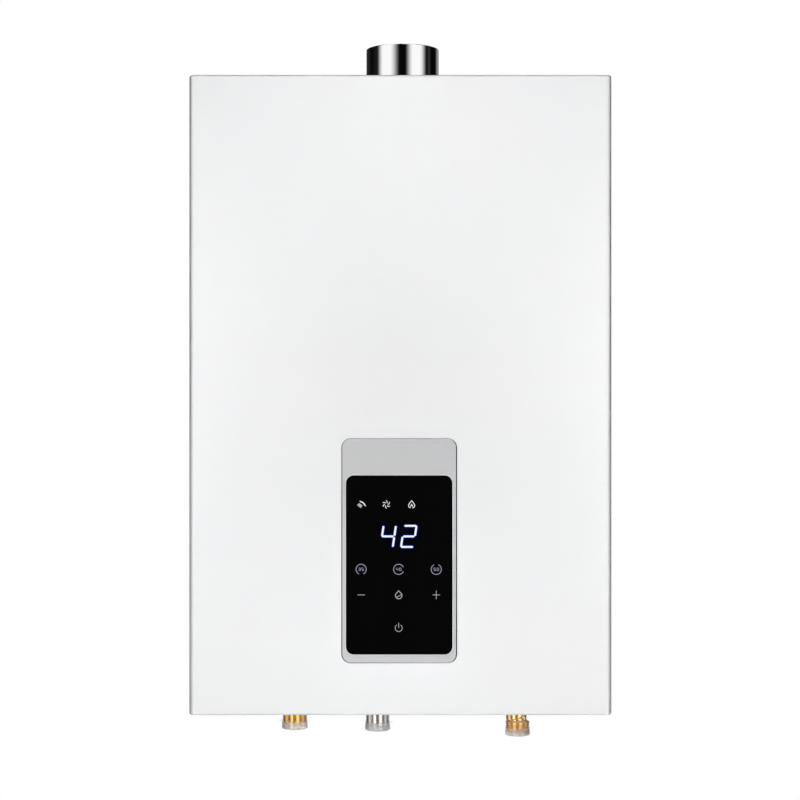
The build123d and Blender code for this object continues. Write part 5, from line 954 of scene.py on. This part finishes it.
reflection_tent("upper_tent", TENT_HEIGHT, (
    (-180, 0.05), (-112, 0.003), (-86, 0.012), (-62, 1.0), (-41, 1.0), (-9, 0.002), (8, 0.002), (33, 1.0),
    (54, 1.0), (80, 0.003), (91, 0.03), (102, 0.002), (125, 0.002), (150, 0.3), (180, 0.05)))
reflection_tent("lower_tent", -TENT_HEIGHT, (
    (-180, 0.06), (-118, 0.08), (-106, 1.2), (-88, 1.2), (-74, 0.4), (-64, 0.06), (-50, 0.06), (-42, 2.2),
    (-22, 2.2), (-14, 0.03), (14, 0.03), (22, 2.2), (46, 2.2), (54, 0.06), (78, 0.02), (88, 1.2), (106, 1.2),
    (118, 0.08), (180, 0.06)))

# World: white to the camera, in reflections and through clear pieces, and dim as light on the heater.
# The lamps give nearly all the light.
WORLD_LIGHT = 0.06
world = bpy.data.worlds.new("white_studio")
world.use_nodes = True
tree = world.node_tree
seen = tree.nodes["Background"]
seen.inputs["Color"].default_value = (1.0, 1.0, 1.0, 1.0)
seen.inputs["Strength"].default_value = 1.0
ambient = tree.nodes.new("ShaderNodeBackground")
ambient.inputs["Color"].default_value = (1.0, 1.0, 1.0, 1.0)
ambient.inputs["Strength"].default_value = WORLD_LIGHT
path = tree.nodes.new("ShaderNodeLightPath")
direct = tree.nodes.new("ShaderNodeMath")
direct.operation = "MAXIMUM"
tree.links.new(path.outputs["Is Camera Ray"], direct.inputs[0])
tree.links.new(path.outputs["Is Glossy Ray"], direct.inputs[1])
through = tree.nodes.new("ShaderNodeMath")
through.operation = "MAXIMUM"
tree.links.new(direct.outputs["Value"], through.inputs[0])
tree.links.new(path.outputs["Is Transmission Ray"], through.inputs[1])
choose = tree.nodes.new("ShaderNodeMixShader")
tree.links.new(through.outputs["Value"], choose.inputs["Fac"])
tree.links.new(ambient.outputs["Background"], choose.inputs[1])
tree.links.new(seen.outputs["Background"], choose.inputs[2])
tree.links.new(choose.outputs["Shader"], tree.nodes["World Output"].inputs["Surface"])
bpy.context.scene.world = world


# Lamps: gridded soft boxes low on both sides of the camera, where their light still reaches the connectors.
# On each side one is turned to the far upper corner and one to the far lower corner, which lights the front
# evenly and leaves its bends dark. Three open boxes stand behind, for the sides, the back and the underside.
def soft_box(name, place, target, size, power, spread):
    """A rectangular lamp of the given width and height, turned to its target."""
    lamp = bpy.data.lights.new(name, "AREA")
    lamp.shape = "RECTANGLE"
    lamp.size, lamp.size_y = size
    lamp.energy = power
    lamp.spread = math.radians(spread)
    holder = bpy.data.objects.new(name, lamp)
    holder.location = place
    holder.rotation_mode = "QUATERNION"
    holder.rotation_quaternion = (Vector(target) - Vector(place)).to_track_quat("-Z", "Y")
    holder.visible_camera = False
    holder.visible_glossy = False
    bpy.context.scene.collection.objects.link(holder)


GRID_SPREAD, OPEN_SPREAD = 49.4, 180.0
FRONT_BOX_SIZE = (0.27, 0.23)
FRONT_BOX_SIDE, FRONT_BOX_DISTANCE, FRONT_BOX_LEVEL = 0.422, 0.997, -0.186
HIGH_AIM, HIGH_POWER = (0.461, 0.39), 1.69
LOW_AIM, LOW_POWER = (0.453, -0.25), 1.55
REAR_BOX_SIZE, REAR_POWER = (1.2, 1.2), 190.0
REAR_BOX_SIDE, REAR_BOX_BACK, REAR_BOX_LEVEL = 1.2, 2.9, 0.9
UNDER_BOX_SIZE, UNDER_POWER = (1.2, 0.6), 30.0
UNDER_BOX_PLACE = (0.0, 2.4, -1.4)
UNDER_AIM = (0.0, -0.07, -0.27)
for name, side in (("left", -1), ("right", 1)):
    place = (side * FRONT_BOX_SIDE, cover_front - FRONT_BOX_DISTANCE, FRONT_BOX_LEVEL)
    for box, (aim_x, aim_z), power in (("high_box_", HIGH_AIM, HIGH_POWER), ("low_box_", LOW_AIM, LOW_POWER)):
        target = (-side * aim_x, cover_front, aim_z)
        soft_box(box + name, place, target, FRONT_BOX_SIZE, power, GRID_SPREAD)
    rear_place = (side * REAR_BOX_SIDE, REAR_BOX_BACK, REAR_BOX_LEVEL)
    soft_box("rear_box_" + name, rear_place, (0.0, 0.0, 0.0), REAR_BOX_SIZE, REAR_POWER, OPEN_SPREAD)
soft_box("under_box", UNDER_BOX_PLACE, UNDER_AIM, UNDER_BOX_SIZE, UNDER_POWER, OPEN_SPREAD)

# Camera at the photograph's place, level and square to the front.
# Its lens and distance give the photograph's size and perspective.
CAMERA_HEIGHT = -0.00415
CAMERA_SIDE = -0.00033
CAMERA_DISTANCE = 1.6736
SENSOR_WIDTH = 36.0
LENS = 83.42
camera_data = bpy.data.cameras.new("photo_camera")
camera_data.sensor_width = SENSOR_WIDTH
camera_data.lens = LENS
camera = bpy.data.objects.new("photo_camera", camera_data)
camera.location = (CAMERA_SIDE, -CAMERA_DISTANCE, CAMERA_HEIGHT)
camera.rotation_euler = (math.radians(90.0), 0.0, 0.0)
bpy.context.scene.collection.objects.link(camera)
bpy.context.scene.camera = camera
bpy.context.scene.view_settings.view_transform = "Standard"
